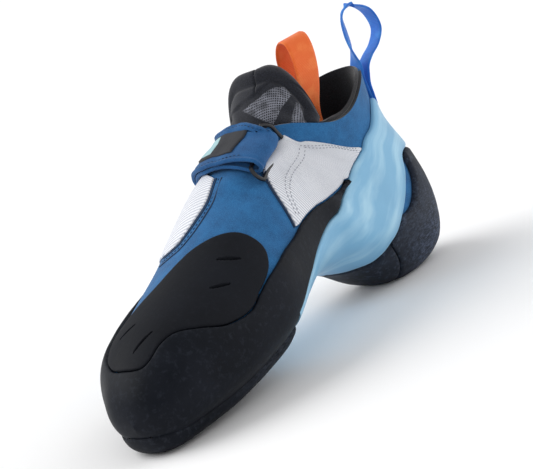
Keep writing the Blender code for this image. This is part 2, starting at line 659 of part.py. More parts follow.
def pull_loop(name, finish, parts, foot, facing, rows, spread, height, width):
    """Flat webbing bent into a loop. Facing is the way its width points; out is square to it."""
    across = Vector(facing).normalized()
    up = (Vector((0, 0, 1)) - across * across.z).normalized()
    out = across.cross(up) * (1 if across.cross(up).dot(Vector((0.5, 1, 0))) > 0 else -1)
    run = [(foot + out * o * spread + up * h * height, math.radians(turn))
           for o, h, turn in smooth_edge(rows, 3)]
    last = len(run) - 1

    def face(side):
        def point(s, t):
            k = round(s * last)
            here, turn = run[k]
            ahead, behind = run[min(k + 1, last)][0], run[max(k - 1, 0)][0]
            tangent = (ahead - behind).normalized()
            wide = (across - tangent * across.dot(tangent)).normalized()
            wide.rotate(Quaternion(tangent, turn * (1 if tangent.z > 0 else -1)))
            normal = tangent.cross(wide)
            return here + wide * (t - 0.5) * width + normal * side * WEBBING_THICKNESS / 2
        return point
    sheet = lasted(strip(last, 1), face(1), face(-1))
    return place(name, sheet, finish, parts)


def tongue_loop(parts):
    foot = skin(*TONGUE_LOOP_FOOT, -TONGUE_LOOP_INSET) + Vector((0, 0, TONGUE_LOOP_LIFT))
    return pull_loop("tongue_loop", ORANGE_WEBBING, parts, foot,
                     TONGUE_LOOP_FACING, TONGUE_LOOP, TONGUE_LOOP_SPREAD, TONGUE_LOOP_HEIGHT,
                     TONGUE_LOOP_WIDTH)


def heel_loop(parts):
    foot = skin(*HEEL_LOOP_FOOT, GAP + WEBBING_THICKNESS / 2)
    return pull_loop("heel_loop", BLUE_WEBBING, parts, foot, HEEL_LOOP_FACING, HEEL_LOOP,
                     HEEL_LOOP_SPREAD, HEEL_LOOP_HEIGHT, HEEL_LOOP_WIDTH)


def build():
    for old in list(bpy.data.objects):
        bpy.data.objects.remove(old)
    parts = bpy.data.collections.new("climbing_shoe")
    bpy.context.scene.collection.children.link(parts)
    upper_shell(parts)
    insole(parts)
    midsole(parts)
    outsole(parts)
    rand(parts)
    toe_patch(parts)
    tension_band(parts)
    heel_base(parts)
    heel_cup(parts)
    elastic_panel_inner(parts)
    elastic_panel_outer(parts)
    collar_cuff(parts)
    tongue(parts)
    strap(parts)
    strap_ring(parts)
    strap_badge(parts)
    tongue_loop(parts)
    heel_loop(parts)


build()
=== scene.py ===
"""The looks of a right climbing shoe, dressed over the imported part.

Metres, +Z up, the toe points to -Y and the inner side of the foot is +X, as in the part. The
sheets are cut as flat patterns in sections and girths of the last and then wrapped on it. Cuff,
tongue, strap and pull loops are strips that follow a run of their own.
"""

import functools
import math

import bmesh
import bpy
from mathutils import Matrix, Quaternion, Vector
from mathutils.kdtree import KDTree


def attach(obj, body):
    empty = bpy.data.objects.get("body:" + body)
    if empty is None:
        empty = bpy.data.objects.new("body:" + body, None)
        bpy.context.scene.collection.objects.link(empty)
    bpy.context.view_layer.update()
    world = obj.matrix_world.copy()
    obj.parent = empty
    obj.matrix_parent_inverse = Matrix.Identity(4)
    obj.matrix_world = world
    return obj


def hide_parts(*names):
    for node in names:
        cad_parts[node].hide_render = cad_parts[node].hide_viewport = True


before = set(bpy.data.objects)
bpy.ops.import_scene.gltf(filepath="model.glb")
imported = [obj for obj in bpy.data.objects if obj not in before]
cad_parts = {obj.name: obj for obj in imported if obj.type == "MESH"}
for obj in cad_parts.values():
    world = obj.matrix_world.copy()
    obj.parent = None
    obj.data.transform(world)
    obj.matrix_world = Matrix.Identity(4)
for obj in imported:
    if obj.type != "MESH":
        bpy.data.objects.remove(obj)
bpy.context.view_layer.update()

# Driving sizes of the last
LENGTH = 0.236
BALL_WIDTH = 0.080
HEEL_WIDTH = 0.050
INSTEP_HEIGHT = 0.092
BACK_HEIGHT = 0.094
ARCH_RISE = 0.021
COLLAR_DIP = 0.012
CENTRE_X = 0.0026
CENTRE_Y = -0.0003

# Thicknesses, measured outwards from the last
GAP = 0.0003
UPPER_WALL = 0.0016
PANEL_THICKNESS = 0.0008
RAND_THICKNESS = 0.0020
PATCH_THICKNESS = 0.0017
BAND_THICKNESS = 0.0024
HEEL_THICKNESS = 0.0024
MIDSOLE_THICKNESS = 0.0020
OUTSOLE_THICKNESS = 0.0034
INSOLE_THICKNESS = 0.0012
FLAT_DEPTH = 0.0005
STACK_HEIGHT = GAP + MIDSOLE_THICKNESS + GAP + OUTSOLE_THICKNESS - FLAT_DEPTH
LINING_LIFT = -UPPER_WALL - GAP

# How wide the edges are rounded
RUBBER_RIM = 0.0009
PANEL_RIM = 0.0006
BAND_RIM = 0.0014
HEEL_RIM = 0.0012
BADGE_RIM = 0.0005

# Stitches: spacing, length and width. Seams: radius of the cord.
PANEL_STITCH = (0.0020, 0.0013, 0.0005)
VAMP_STITCH = (0.0021, 0.0014, 0.0004)
TONGUE_STITCH = (0.0019, 0.0012, 0.0004)
STRAP_STITCH = (0.0022, 0.0015, 0.00045)
PANEL_SEAM = 0.00055
VAMP_SEAM = 0.00035

# How far seams and stitch rows lie from their edge
PANEL_ROWS = (0.0, 0.0019)
PANEL_SEAM_ASIDE = -0.0007
VAMP_SEAMS = (0.0010, 0.0042)
VAMP_ROW = 0.0026
STRAP_ROWS = (0.076, 0.924)

# Strap, ring and badge
STRAP_WIDTH = 0.0265
STRAP_THICKNESS = 0.0020
RING_WIRE = 0.0018
RING_REACH = 0.0030
BADGE_THICKNESS = 0.0007
BADGE_WIDTH = 0.0165
BADGE_GIRTHS = (0.935, 1.120)
LABEL_WIDTH = 0.0125
LABEL_GIRTHS = (1.040, 1.108)
LABEL_THICKNESS = 0.0003

# Tongue and pull loops
TONGUE_THICKNESS = 0.0022
TONGUE_RISE = 0.030
CUFF_RISE = 0.0022
TONGUE_LOOP_WIDTH = 0.013
TONGUE_LOOP_HEIGHT = 0.036
TONGUE_LOOP_SPREAD = 0.014
TONGUE_LOOP_FOOT = (16.5, 0.535)
TONGUE_LOOP_INSET = 0.0115
TONGUE_LOOP_LIFT = 0.007
TONGUE_LOOP_FACING = (0.28, 0.95, 0.11)
HEEL_LOOP_WIDTH = 0.008
HEEL_LOOP_HEIGHT = 0.031
HEEL_LOOP_SPREAD = 0.020
HEEL_LOOP_FACING = (0.97, -0.26, 0.0)
WEBBING_THICKNESS = 0.0011
LINING_THICKNESS = 0.0012
HALF_GIRTH_LENGTH = 0.100
INSTEP_GIRTH_LENGTH = 0.072
SECTION_LENGTH = 0.014
STRAP_CENTRE = -0.0105
STRAP_SWEEP = 0.040

# Fineness: pattern lines per section of the last and per half girth
LINES_PER_SECTION = 8
LINES_PER_HALF_GIRTH = 56
EDGE_STEPS = 6
PATH_STEPS = 4
LEAST_STEP = 0.0007
RIM_WIDTHS = (0.00015, 0.00025, 0.0006)
UV_PER_METRE = 100.0

# Sections of the last. "under" is the underside or the back line, "top" the ridge or the throat.
# along: shares of LENGTH. arch: share of ARCH_RISE. back: share of BACK_HEIGHT.
# top_z: share of INSTEP_HEIGHT. under_x, top_x: shares of BALL_WIDTH. medial, lateral: half
# widths as shares of the width there, which goes from BALL_WIDTH to HEEL_WIDTH with heel.
# widest: share of the height. low, high: powers of the lower and upper curve. dip: of COLLAR_DIP.
COLUMNS = ("under_y", "arch", "back", "top_y", "top_z", "under_x", "top_x",
           "medial", "lateral", "heel", "widest", "low", "high", "dip")
SECTIONS = {
    "toe tip": (-0.5, 0.44, 0.0, -0.5, 0.163, 0.16, 0.16, 0.0, 0.0, 0.0, 0.5, 2.0, 2.0, 0.0),
    "toe end": (-0.486, 0.13, 0.0, -0.492, 0.272, 0.142, 0.142, 0.125, 0.135, 0.0, 0.5, 2.1, 2.0, 0.0),
    "toe box": (-0.453, 0.0, 0.0, -0.466, 0.362, 0.108, 0.118, 0.222, 0.222, 0.0, 0.43, 2.4, 2.0, 0.0),
    "great toe": (-0.396, 0.0, 0.0, -0.417, 0.458, 0.045, 0.092, 0.325, 0.331, 0.0, 0.4, 2.6, 2.0, 0.0),
    "little toe": (-0.318, 0.05, 0.0, -0.347, 0.53, -0.015, 0.085, 0.41, 0.429, 0.0, 0.38, 2.7, 1.9, 0.0),
    "fore ball": (-0.231, 0.21, 0.0, -0.275, 0.602, -0.045, 0.072, 0.462, 0.49, 0.0, 0.38, 2.7, 1.8, 0.0),
    "ball": (-0.144, 0.42, 0.0, -0.199, 0.69, -0.063, 0.045, 0.481, 0.5, 0.0, 0.38, 2.6, 1.8, 0.0),
    "waist front": (-0.055, 0.7, 0.0, -0.125, 0.793, -0.08, 0.0, 0.441, 0.478, 0.0, 0.4, 2.4, 1.85, 0.0),
    "arch": (0.034, 0.94, 0.0, -0.068, 0.88, -0.078, -0.03, 0.437, 0.49, 0.3, 0.42, 2.3, 1.95, 0.0),
    "waist back": (0.119, 0.86, 0.0, -0.028, 0.924, -0.062, -0.042, 0.44, 0.5, 0.55, 0.45, 2.2, 2.1, 0.0),
    "heel front": (0.203, 0.48, 0.0, -0.004, 0.948, -0.052, -0.042, 0.482, 0.53, 0.8, 0.46, 2.2, 2.2, 0.0),
    "heel seat": (0.288, 0.1, 0.0, 0.009, 0.961, -0.05, -0.04, 0.51, 0.55, 1.0, 0.46, 2.2, 2.3, 0.08),
    "heel strike": (0.377, 0.0, 0.0, 0.017, 0.973, -0.05, -0.04, 0.495, 0.535, 1.0, 0.46, 2.3, 2.3, 0.17),
    "heel curve": (0.458, 0.0, 0.055, 0.024, 0.985, -0.05, -0.04, 0.48, 0.52, 1.0, 0.46, 2.3, 2.3, 0.33),
    "heel back": (0.499, 0.0, 0.24, 0.03, 0.995, -0.05, -0.04, 0.465, 0.505, 1.0, 0.46, 2.3, 2.3, 0.5),
    "heel hollow": (0.47, 0.0, 0.48, 0.034, 1.003, -0.05, -0.04, 0.455, 0.49, 1.0, 0.46, 2.3, 2.3, 0.67),
    "ankle": (0.418, 0.0, 0.735, 0.038, 1.012, -0.048, -0.038, 0.428, 0.48, 1.0, 0.46, 2.2, 2.3, 0.83),
    "collar": (0.400, 0.0, 1.0, 0.042, 1.02, -0.012, -0.038, 0.432, 0.49, 1.0, 0.47, 2.0, 2.3, 1.0),
}
ROWS = tuple(SECTIONS.values())
COLLAR = len(ROWS) - 1
ROUND = 2

# Outlines on the last as (section, girth). Girth runs from the underside, 0, up the inner side
# to the ridge, 1, and down the outer side to 2. Each edge is a smooth curve through its points.
SEAM = 0.0003
RAND_TOP_INNER = ((5.30, 0.648), (5.85, 0.655), (6.64, 0.630), (7.60, 0.580), (9.05, 0.548),
                  (10.84, 0.575), (11.90, 0.588), (12.85, 0.594))
RAND_TOP_OUTER = ((2.60, 1.205), (3.30, 1.255), (4.60, 1.305), (6.10, 1.370), (7.60, 1.420),
                  (9.05, 1.450), (10.84, 1.425), (11.90, 1.412), (12.85, 1.406))
TOE_SEAM = ((5.30, 0.648), (4.85, 0.636), (4.20, 0.672), (3.75, 0.745), (3.35, 0.815),
            (2.90, 0.842), (2.45, 0.850), (2.15, 0.885), (2.02, 0.965), (2.06, 1.080),
            (2.25, 1.155), (2.60, 1.205))
PATCH_BACK = ((2.60, 1.205), (3.25, 1.188), (3.90, 1.152), (4.68, 1.088), (5.43, 1.025),
              (6.01, 0.935), (6.33, 0.860), (6.45, 0.790), (6.38, 0.715), (6.10, 0.676),
              (5.75, 0.660), (5.30, 0.651))
BAND_FRONT = ((16.12, 0.000), (16.24, 0.130), (16.36, 0.240), (16.02, 0.365), (15.68, 0.470),
              (14.40, 0.560), (12.94, 0.585), (11.20, 0.555), (9.26, 0.480), (7.76, 0.432),
              (6.76, 0.408), (6.10, 0.396))
BAND_REAR = ((9.55, 0.000), (9.85, 0.120), (10.25, 0.190), (10.72, 0.270), (11.42, 0.345),
             (12.59, 0.412), (13.67, 0.415), (14.38, 0.385), (14.96, 0.322), (15.12, 0.160),
             (15.15, 0.000))
HEEL_EDGE = ((12.59, 0.412), (13.38, 0.380), (13.88, 0.366), (14.54, 0.338), (14.96, 0.322))
HEEL_SEAM = ((11.20, 0.308), (11.28, 0.200), (11.25, 0.000))
PANEL_INNER = (((15.62, 0.505), (15.68, 0.600), (15.20, 0.695), (14.80, 0.738), (15.30, 0.790)),
               ((15.30, 0.790), (13.50, 0.824), (11.50, 0.826), (9.60, 0.822), (8.80, 0.790)),
               ((8.80, 0.790), (8.15, 0.705), (7.64, 0.590)))
KEEPER_STITCHES = ((13.90, 0.745), (11.90, 0.743), (9.98, 0.727), (9.02, 0.704), (8.42, 0.672),
                   (8.12, 0.634), (7.94, 0.605))
TOP_STITCHES = ((14.10, 0.728), (15.00, 0.640), (15.42, 0.580), (15.40, 0.510))
PANEL_OUTER = (((8.15, 1.015), (7.26, 1.015), (6.60, 1.060), (6.20, 1.105)),
               ((6.20, 1.105), (6.14, 1.160), (6.26, 1.230), (6.60, 1.330), (7.10, 1.395)),
               ((9.60, 1.440), (9.90, 1.300), (9.60, 1.170), (8.60, 1.080), (8.15, 1.015)))
INNER_PANEL_ENDS = (7.7, 15.58)
OUTER_PANEL_ENDS = (7.3, 9.5)
LASTING_OPENING = ((1.5, 11.5), 0.125)
INSOLE_OVERLAP = 0.125
INSOLE_FRONT = 0.40
INSOLE_BACK = 0.90
SOLE_EDGE = 0.300
SOLE_TOE = ((1.90, 0.300), (1.30, 0.285), (0.85, 0.220), (0.66, 0.120), (0.62, 0.000))
SOLE_BACK = 6.05
SOLE_RIM = 0.0045
SOLE_TOE_RIM = 0.0065
SOLE_RIM_FULL = 0.06
SOLE_SEAT = 0.0006
SCUFFED_SOLE = (3.4, 5.2)
SCUFFED_HEEL = (11.2, 12.4, 13.2, 14.8)
RAND_LOWER = 0.215
RAND_END = 13.0
MIDSOLE_FRONT = 0.80
HEEL_PAD = 0.0048
PAD_HALF_GIRTH = 0.30
PAD_SECTIONS = (9.9, 11.3, 12.9, 14.3)
CUFF_GIRTHS = (-0.690, 0.598)
LINING_DEPTH = 5.0
TONGUE_GIRTH = 0.95
TONGUE_HALF_GIRTH = 0.355
TONGUE_FOOT = 13.0
TONGUE_LEAN = 32.0
TONGUE_ARCH_POWER = 2.6
STRAP_PITCH = 26.0
SWEEP_START = 1.08
STRAP_FOLD = 0.845
STRAP_ANCHOR = 1.34
STRAP_END = 1.27
FOLD_POINT = 12
FOLD_END = 15
HEEL_LOOP_FOOT = (16.80, 0.05)

# Pull loops, from the foot of one strand over the top to the foot of the other. out: shares of
# the spread, up: shares of the height, turn: degrees that the webbing turns about its run.
TONGUE_LOOP = (
    (-0.36, -0.36, 0), (-0.34, -0.22, 0), (-0.28, -0.06, 0), (-0.10, 0.10, 0), (0.24, 0.30, 0),
    (0.58, 0.55, 0), (0.76, 0.82, 0), (0.66, 1.00, 0), (0.28, 1.00, 0), (-0.08, 0.80, 0),
    (-0.16, 0.48, 0), (-0.30, 0.16, 0), (-0.42, -0.08, 0), (-0.45, -0.22, 0), (-0.46, -0.36, 0),
)
HEEL_LOOP = (
    (0.10, -0.52, 5), (0.08, -0.36, 5), (0.035, -0.20, 10), (0.02, -0.06, 10), (0.07, 0.12, 5),
    (0.08, 0.25, -20), (0.08, 0.42, -42), (0.06, 0.62, -48), (0.08, 0.86, -40),
    (0.24, 0.985, -25), (0.50, 1.00, -12), (0.86, 0.84, 0), (1.00, 0.56, 0), (0.80, 0.34, 0),
    (0.50, 0.20, 0), (0.30, 0.08, 5), (0.20, -0.06, 10), (0.15, -0.20, 10), (0.17, -0.36, 5),
    (0.18, -0.52, 5),
)

# Soft ridges and troughs on the last: ends as (section, girth), half width and height in metres
VAMP_FOLDS = (
    ((7.90, 0.800), (7.10, 0.900), 0.0045, -0.0006),
    ((8.40, 0.880), (7.40, 1.000), 0.0040, 0.0005),
    ((6.95, 0.640), (6.60, 0.760), 0.0040, -0.0005),
)
PANEL_FOLDS = (
    ((17.50, 0.798), (7.00, 0.792), 0.0030, 0.0024),
    ((9.95, 0.745), (8.60, 0.640), 0.0022, 0.0011),
    ((10.90, 0.750), (9.20, 0.625), 0.0024, 0.0008),
    ((12.40, 0.745), (12.00, 0.600), 0.0060, 0.0005),
)
BAND_FOLDS = (
    ((13.70, 0.520), (9.20, 0.330), 0.0050, 0.0009),
    ((12.20, 0.440), (8.20, 0.230), 0.0045, 0.0006),
    ((15.90, 0.420), (14.60, 0.500), 0.0050, -0.0006),
)
RAND_FOLDS = (
    ((5.40, 0.560), (7.60, 0.500), 0.0060, -0.0006),
    ((3.20, 0.700), (4.60, 0.600), 0.0070, 0.0006),
)
SLITS = (((5.54, 0.855), (5.78, 0.775)), ((4.75, 0.818), (5.08, 0.763)),
         ((2.54, 0.970), (3.18, 0.915)), ((3.08, 1.105), (3.44, 1.045)))
SLIT_WIDTH = 0.0006
SLIT_MARGIN = 0.002
SLIT_LINES = 0.0004
SLIT_DEPTH = 0.0013
RING_SEAT = 0.0010
RING_BACK = 0.797
RING_CORNER = 0.12
RING_SWELL = 0.7
FOLD_CORNER = 0.008
FOLD_SLANT = 0.050

# The tongue's face, as (s, t): corners of the netting, the seam and the lower edge of its panel
NETTING = (((0.60, 0.71), (0.30, 0.51), (0.18, 0.80), (0.23, 0.84)),
           ((0.155, 0.74), (0.18, 0.50), (0.08, 0.50), (0.13, 0.76)))
TONGUE_SEAM = 0.49
TONGUE_FACE = (0.070, 0.060)
TONGUE_PANEL = ((0.62, 0.745), (0.25, 0.890))

# Relief beside the rims of tongue and strap: height, distance from the rim, width
TONGUE_BINDING = (0.0014, 0.0032, 0.0026)
TONGUE_GROOVE = (-0.0009, 0.0072, 0.0012)
STRAP_PRESSED = (0.00035, 0.0020, 0.0007)


def between(a, b, c, d, t):
    """The value t of the way from b to c, on a Catmull-Rom curve through all four."""
    leave, arrive, step = (c - a) / 2, (d - b) / 2, c - b
    bend = 3 * step - 2 * leave - arrive
    return b + t * (leave + t * (bend + t * (leave + arrive - 2 * step)))


def section(u):
    """The table's values at section u, on a smooth curve through its rows."""
    i = min(max(math.floor(u), 0), COLLAR - 1)
    rows = [ROWS[min(max(i + k, 0), COLLAR)] for k in (-1, 0, 1, 2)]
    return {name: between(*four, u - i) for name, *four in zip(COLUMNS, *rows)}


def on_last(u, girth):
    """The point of the last's surface at section u and that girth."""
    s = section(u)
    v = (girth + 1) % ROUND - 1
    angle = math.pi * abs(v)
    high_up = abs(v) > 0.5
    power = 2 / (s["high"] if high_up else s["low"])
    across = max(math.sin(angle), 0.0) ** power
    climb = abs(math.cos(angle)) ** power
    rise = s["widest"] + (1 - s["widest"]) * climb if high_up else s["widest"] * (1 - climb)
    width = BALL_WIDTH + s["heel"] * (HEEL_WIDTH - BALL_WIDTH)
    half = s["medial"] if v > 0 else -s["lateral"]
    x = (s["under_x"] + (s["top_x"] - s["under_x"]) * rise) * BALL_WIDTH + half * width * across
    under = Vector((s["under_y"] * LENGTH,
                    STACK_HEIGHT + s["arch"] * ARCH_RISE + s["back"] * BACK_HEIGHT))
    top = Vector((s["top_y"] * LENGTH, s["top_z"] * INSTEP_HEIGHT))
    line = top - under
    down = Vector((line.y, -line.x)).normalized() if line.length > 1e-9 else Vector((0, -1))
    if down.y > 0:
        down = -down
    point = under + line * rise + down * s["dip"] * COLLAR_DIP * math.sin(math.pi * rise) ** 2
    return Vector((x + CENTRE_X, point.x + CENTRE_Y, point.y))


@functools.cache
def outward(u, girth):
    """The unit normal of the last, pointing out of the shoe."""
    if u < 0.05:
        return Vector((0, -1, 0))
    along = on_last(min(u + 0.02, COLLAR), girth) - on_last(u - 0.02, girth)
    round_it = on_last(u, girth + 0.004) - on_last(u, girth - 0.004)
    return along.cross(round_it).normalized()


def skin(u, girth, lift):
    """The point that lies a lift outwards from the last."""
    return on_last(u, girth) + lift * outward(u, girth)


def ease(x, start, end):
    """A soft step from 0 at start to 1 at end."""
    t = min(max((x - start) / (end - start), 0.0), 1.0)
    return t * t * (3 - 2 * t)


def swell(x, height, middle, width):
    """A soft rise of a height round a middle."""
    return height * math.exp(-((x - middle) / width) ** 2)


def smooth_edge(points, steps=EDGE_STEPS):
    """Points of a smooth curve through the given ones, the ends included."""
    found = []
    for i in range(len(points) - 1):
        four = [points[min(max(i + k, 0), len(points) - 1)] for k in (-1, 0, 1, 2)]
        for n in range(steps):
            found.append(tuple(between(*values, n / steps) for values in zip(*four)))
    return found + [points[-1]]


def outline(*edges):
    """One closed outline from edges that follow each other."""
    found = []
    for edge in edges:
        for spot in edge:
            if not found or (on_paper(*spot) - on_paper(*found[-1])).length > LEAST_STEP:
                found.append(tuple(spot))
    if (on_paper(*found[0]) - on_paper(*found[-1])).length < LEAST_STEP:
        found.pop()
    return found


def beside(edge, distance):
    """The edge moved to its left by a distance on the last, or to its right if that is negative."""
    moved = []
    for i, (u, v) in enumerate(edge):
        before, after = edge[max(i - 1, 0)], edge[min(i + 1, len(edge) - 1)]
        run = Vector(((after[0] - before[0]) * SECTION_LENGTH,
                      (after[1] - before[1]) * HALF_GIRTH_LENGTH)).normalized()
        moved.append((u - run.y * distance / SECTION_LENGTH,
                      v + run.x * distance / HALF_GIRTH_LENGTH))
    return moved


def mirrored(edge):
    """The same edge on the outer side of the foot, with its girth counted over the ridge."""
    return [(u, ROUND - v) for u, v in edge]


def opposite(edge):
    """The same edge on the outer side of the foot, with its girth counted from below."""
    return [(u, -v) for u, v in edge]


def on_paper(u, girth):
    """A place of the last on the flat pattern, in metres."""
    return Vector((u * SECTION_LENGTH, girth * HALF_GIRTH_LENGTH, 0))


def cut_lines(pattern, axis, spacing, inside=None):
    """Cuts the flat pattern along evenly spaced lines, or only its faces inside a box."""
    def touched():
        if inside is None:
            return pattern.faces[:]
        (low_x, low_y), (high_x, high_y) = inside
        return [f for f in pattern.faces
                if low_x < f.calc_center_median().x < high_x
                and low_y < f.calc_center_median().y < high_y]
    start = touched()
    first = min(vert.co[axis] for face in start for vert in face.verts)
    last = max(vert.co[axis] for face in start for vert in face.verts)
    for n in range(math.floor(first / spacing) + 1, math.ceil(last / spacing)):
        at = n * spacing
        faces = [f for f in touched()
                 if min(v.co[axis] for v in f.verts) < at < max(v.co[axis] for v in f.verts)]
        geom = list({item for f in faces for item in (*f.verts, *f.edges)}) + faces
        line, direction = [0.0, 0.0, 0.0], [0.0, 0.0, 0.0]
        line[axis], direction[axis] = at, 1.0
        bmesh.ops.bisect_plane(pattern, geom=geom, dist=1e-8, plane_co=line, plane_no=direction)


def flat_pattern(*outlines, rims=RIM_WIDTHS, lines=(LINES_PER_SECTION, LINES_PER_HALF_GIRTH)):
    """Flat faces of a pattern, in metres, with rows along their edges and a grid inside."""
    pattern = bmesh.new()
    for spots in outlines:
        face = pattern.faces.new([pattern.verts.new(on_paper(u, v)) for u, v in spots])
        face.normal_update()
        if face.normal.z < 0:
            face.normal_flip()
        for width in rims:
            bmesh.ops.inset_individual(pattern, faces=[face], thickness=width)
    cut_lines(pattern, 0, SECTION_LENGTH / lines[0])
    cut_lines(pattern, 1, HALF_GIRTH_LENGTH / lines[1])
    bmesh.ops.remove_doubles(pattern, verts=pattern.verts, dist=1e-5)
    return pattern


def rim_finder(edges):
    """A function that gives the distance on the pattern from a place to the nearest free edge."""
    spots = []
    for edge in edges:
        for a, b in zip(edge, edge[1:]):
            start, end = on_paper(*a), on_paper(*b)
            pieces = max(1, math.ceil((end - start).length / 0.0002))
            spots += [start.lerp(end, k / pieces) for k in range(pieces + 1)]
    tree = KDTree(len(spots))
    for i, spot in enumerate(spots):
        tree.insert(spot, i)
    tree.balance()
    return lambda u, v: tree.find(on_paper(u, v))[2]


def rounded(rim, width, least=0.25):
    """How full a rounded edge is at a distance from its rim: from the least up to 1."""
    share = min(rim / width, 1.0)
    return least + (1 - least) * math.sqrt(1 - (1 - share) ** 2)


def fold_lift(u, v, folds):
    """The height of the soft ridges and troughs at a place of the last."""
    v = (v + 1) % ROUND - 1
    total = 0.0
    place_there = on_paper(u, v)
    for start, end, half_width, height in folds:
        a, b = on_paper(*start), on_paper(*end)
        run = b - a
        t = min(max((place_there - a).dot(run) / run.length_squared, 0.0), 1.0)
        away = (place_there - a - run * t).length
        total += swell(away, height, 0.0, half_width) * (0.35 + 0.65 * math.sin(math.pi * t))
    return total


def wrapped(pattern, outer, inner, uv_of=None):
    """Wraps a flat pattern: outer and inner give points for (section, girth) or for (s, t)."""
    keep_u = pattern.verts.layers.float.new("along")
    keep_v = pattern.verts.layers.float.new("around")
    for vert in pattern.verts:
        if uv_of is None:
            vert[keep_u] = vert.co.x / SECTION_LENGTH
            vert[keep_v] = vert.co.y / HALF_GIRTH_LENGTH
        else:
            vert[keep_u], vert[keep_v] = vert.co.x, vert.co.y
        vert.co = outer(vert[keep_u], vert[keep_v])
    bmesh.ops.remove_doubles(pattern, verts=pattern.verts, dist=1e-5)
    bmesh.ops.dissolve_degenerate(pattern, edges=pattern.edges, dist=1e-5)
    grown = bmesh.ops.extrude_face_region(pattern, geom=pattern.faces[:])["geom"]
    inside = {item for item in grown if isinstance(item, bmesh.types.BMVert)}
    for vert in inside:
        vert.co = inner(vert[keep_u], vert[keep_v])
    bmesh.ops.remove_doubles(pattern, verts=pattern.verts, dist=5e-6)
    bmesh.ops.dissolve_degenerate(pattern, edges=pattern.edges, dist=5e-6)
    bmesh.ops.triangulate(pattern, faces=[f for f in pattern.faces if len(f.verts) > 4])
    bmesh.ops.recalc_face_normals(pattern, faces=pattern.faces)
    uv = pattern.loops.layers.uv.new("pattern")
    scale = uv_of or (SECTION_LENGTH * UV_PER_METRE, HALF_GIRTH_LENGTH * UV_PER_METRE)
    for face in pattern.faces:
        first = face.verts[0][keep_v]
        for loop in face.loops:
            around = loop.vert[keep_v]
            if uv_of is None and abs(around - first) > 1:
                around += ROUND if around < first else -ROUND
            loop[uv].uv = (loop.vert[keep_u] * scale[0], around * scale[1])
    return pattern


def marked(sheet, name, value):
    """Paints a float mark on a wrapped sheet from its (section, girth)."""
    along = sheet.verts.layers.float["along"]
    around = sheet.verts.layers.float["around"]
    mark = sheet.verts.layers.float.new(name)
    for vert in sheet.verts:
        vert[mark] = value(vert[along], vert[around])


def place(name, mesh_edit, finish, replaced=(), sharp=50, inside_finish=None, inside=None):
    """Puts a finished mesh in the scene, rides it on the shoe and gives it its finish."""
    mesh = bpy.data.meshes.new(name)
    if inside_finish:
        for face in mesh_edit.faces:
            face.material_index = int(inside(face))
    mesh_edit.to_mesh(mesh)
    mesh_edit.free()
    mesh.shade_smooth()
    mesh.set_sharp_from_angle(angle=math.radians(sharp))
    made = bpy.data.objects.new(name, mesh)
    made.data.materials.append(finish)
    if inside_finish:
        made.data.materials.append(inside_finish)
    bpy.context.scene.collection.objects.link(made)
    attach(made, "root")
    if replaced:
        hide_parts(*replaced)


def add(tree, kind, inputs=(), **settings):
    """A node with its settings, and its inputs linked or set."""
    made = tree.nodes.new(kind)
    for name, value in settings.items():
        setattr(made, name, value)
    for key, value in dict(inputs).items():
        if isinstance(value, bpy.types.NodeSocket):
            tree.links.new(value, made.inputs[key])
        else:
            made.inputs[key].default_value = value
    return made


def new_finish(name, **sockets):
    """An empty finish and its tree, with the constant values of its shader."""
    made = bpy.data.materials.new(name)
    made.use_nodes = True
    shader = made.node_tree.nodes["Principled BSDF"]
    for key, value in sockets.items():
        shader.inputs[key.replace("_", " ")].default_value = value
    return made, made.node_tree


def finished(made, colour, *heights, **linked):
    """A finish with its colour, other linked values and bumps: height, strength and depth."""
    tree = made.node_tree
    shader = tree.nodes["Principled BSDF"]
    for key, value in {"Base Color": colour, **linked}.items():
        tree.links.new(value, shader.inputs[key])
    below = {}
    for height, strength, depth in heights:
        bump = {"Height": height, "Strength": strength, "Distance": depth, **below}
        below = {"Normal": add(tree, "ShaderNodeBump", bump).outputs["Normal"]}
    if below:
        tree.links.new(below["Normal"], shader.inputs["Normal"])
    return made


def object_place(tree):
    """A place in the piece's own space."""
    return add(tree, "ShaderNodeTexCoord").outputs["Object"]


def pattern_place(tree):
    """A place on the flat pattern, in centimetres."""
    return add(tree, "ShaderNodeUVMap", uv_map="pattern").outputs["UV"]


def painted(tree, name):
    """The mark that a piece carries under that name."""
    return add(tree, "ShaderNodeAttribute", attribute_name=name).outputs["Fac"]


def waves(tree, where, way, scale, distortion, detail_scale=1.0, detail=2.0):
    """Even rows of threads or ribs that follow each other along X or Y."""
    return add(tree, "ShaderNodeTexWave", {
        "Vector": where, "Scale": scale, "Distortion": distortion, "Detail": detail,
        "Detail Scale": detail_scale}, bands_direction=way).outputs["Fac"]


def noise(tree, where, scale, detail=3.0, roughness=0.55):
    return add(tree, "ShaderNodeTexNoise", {"Vector": where, "Scale": scale, "Detail": detail,
                                            "Roughness": roughness}).outputs["Fac"]


def ramp(tree, value, start, end, low_value=0.0, high_value=1.0):
    """A value moved from one range to another, held at its ends."""
    return add(tree, "ShaderNodeMapRange", {
        "Value": value, "From Min": start, "From Max": end,
        "To Min": low_value, "To Max": high_value}).outputs["Result"]


def mix(tree, share, first, second):
    made = add(tree, "ShaderNodeMix", data_type="RGBA")
    for socket, value in ((made.inputs[0], share), (made.inputs[6], first), (made.inputs[7], second)):
        if isinstance(value, bpy.types.NodeSocket):
            tree.links.new(value, socket)
        else:
            socket.default_value = value if isinstance(value, float) else (*value, 1)
    return made.outputs[2]


def math_node(tree, operation, first, second=0.0):
    return add(tree, "ShaderNodeMath", {0: first, 1: second}, operation=operation).outputs[0]


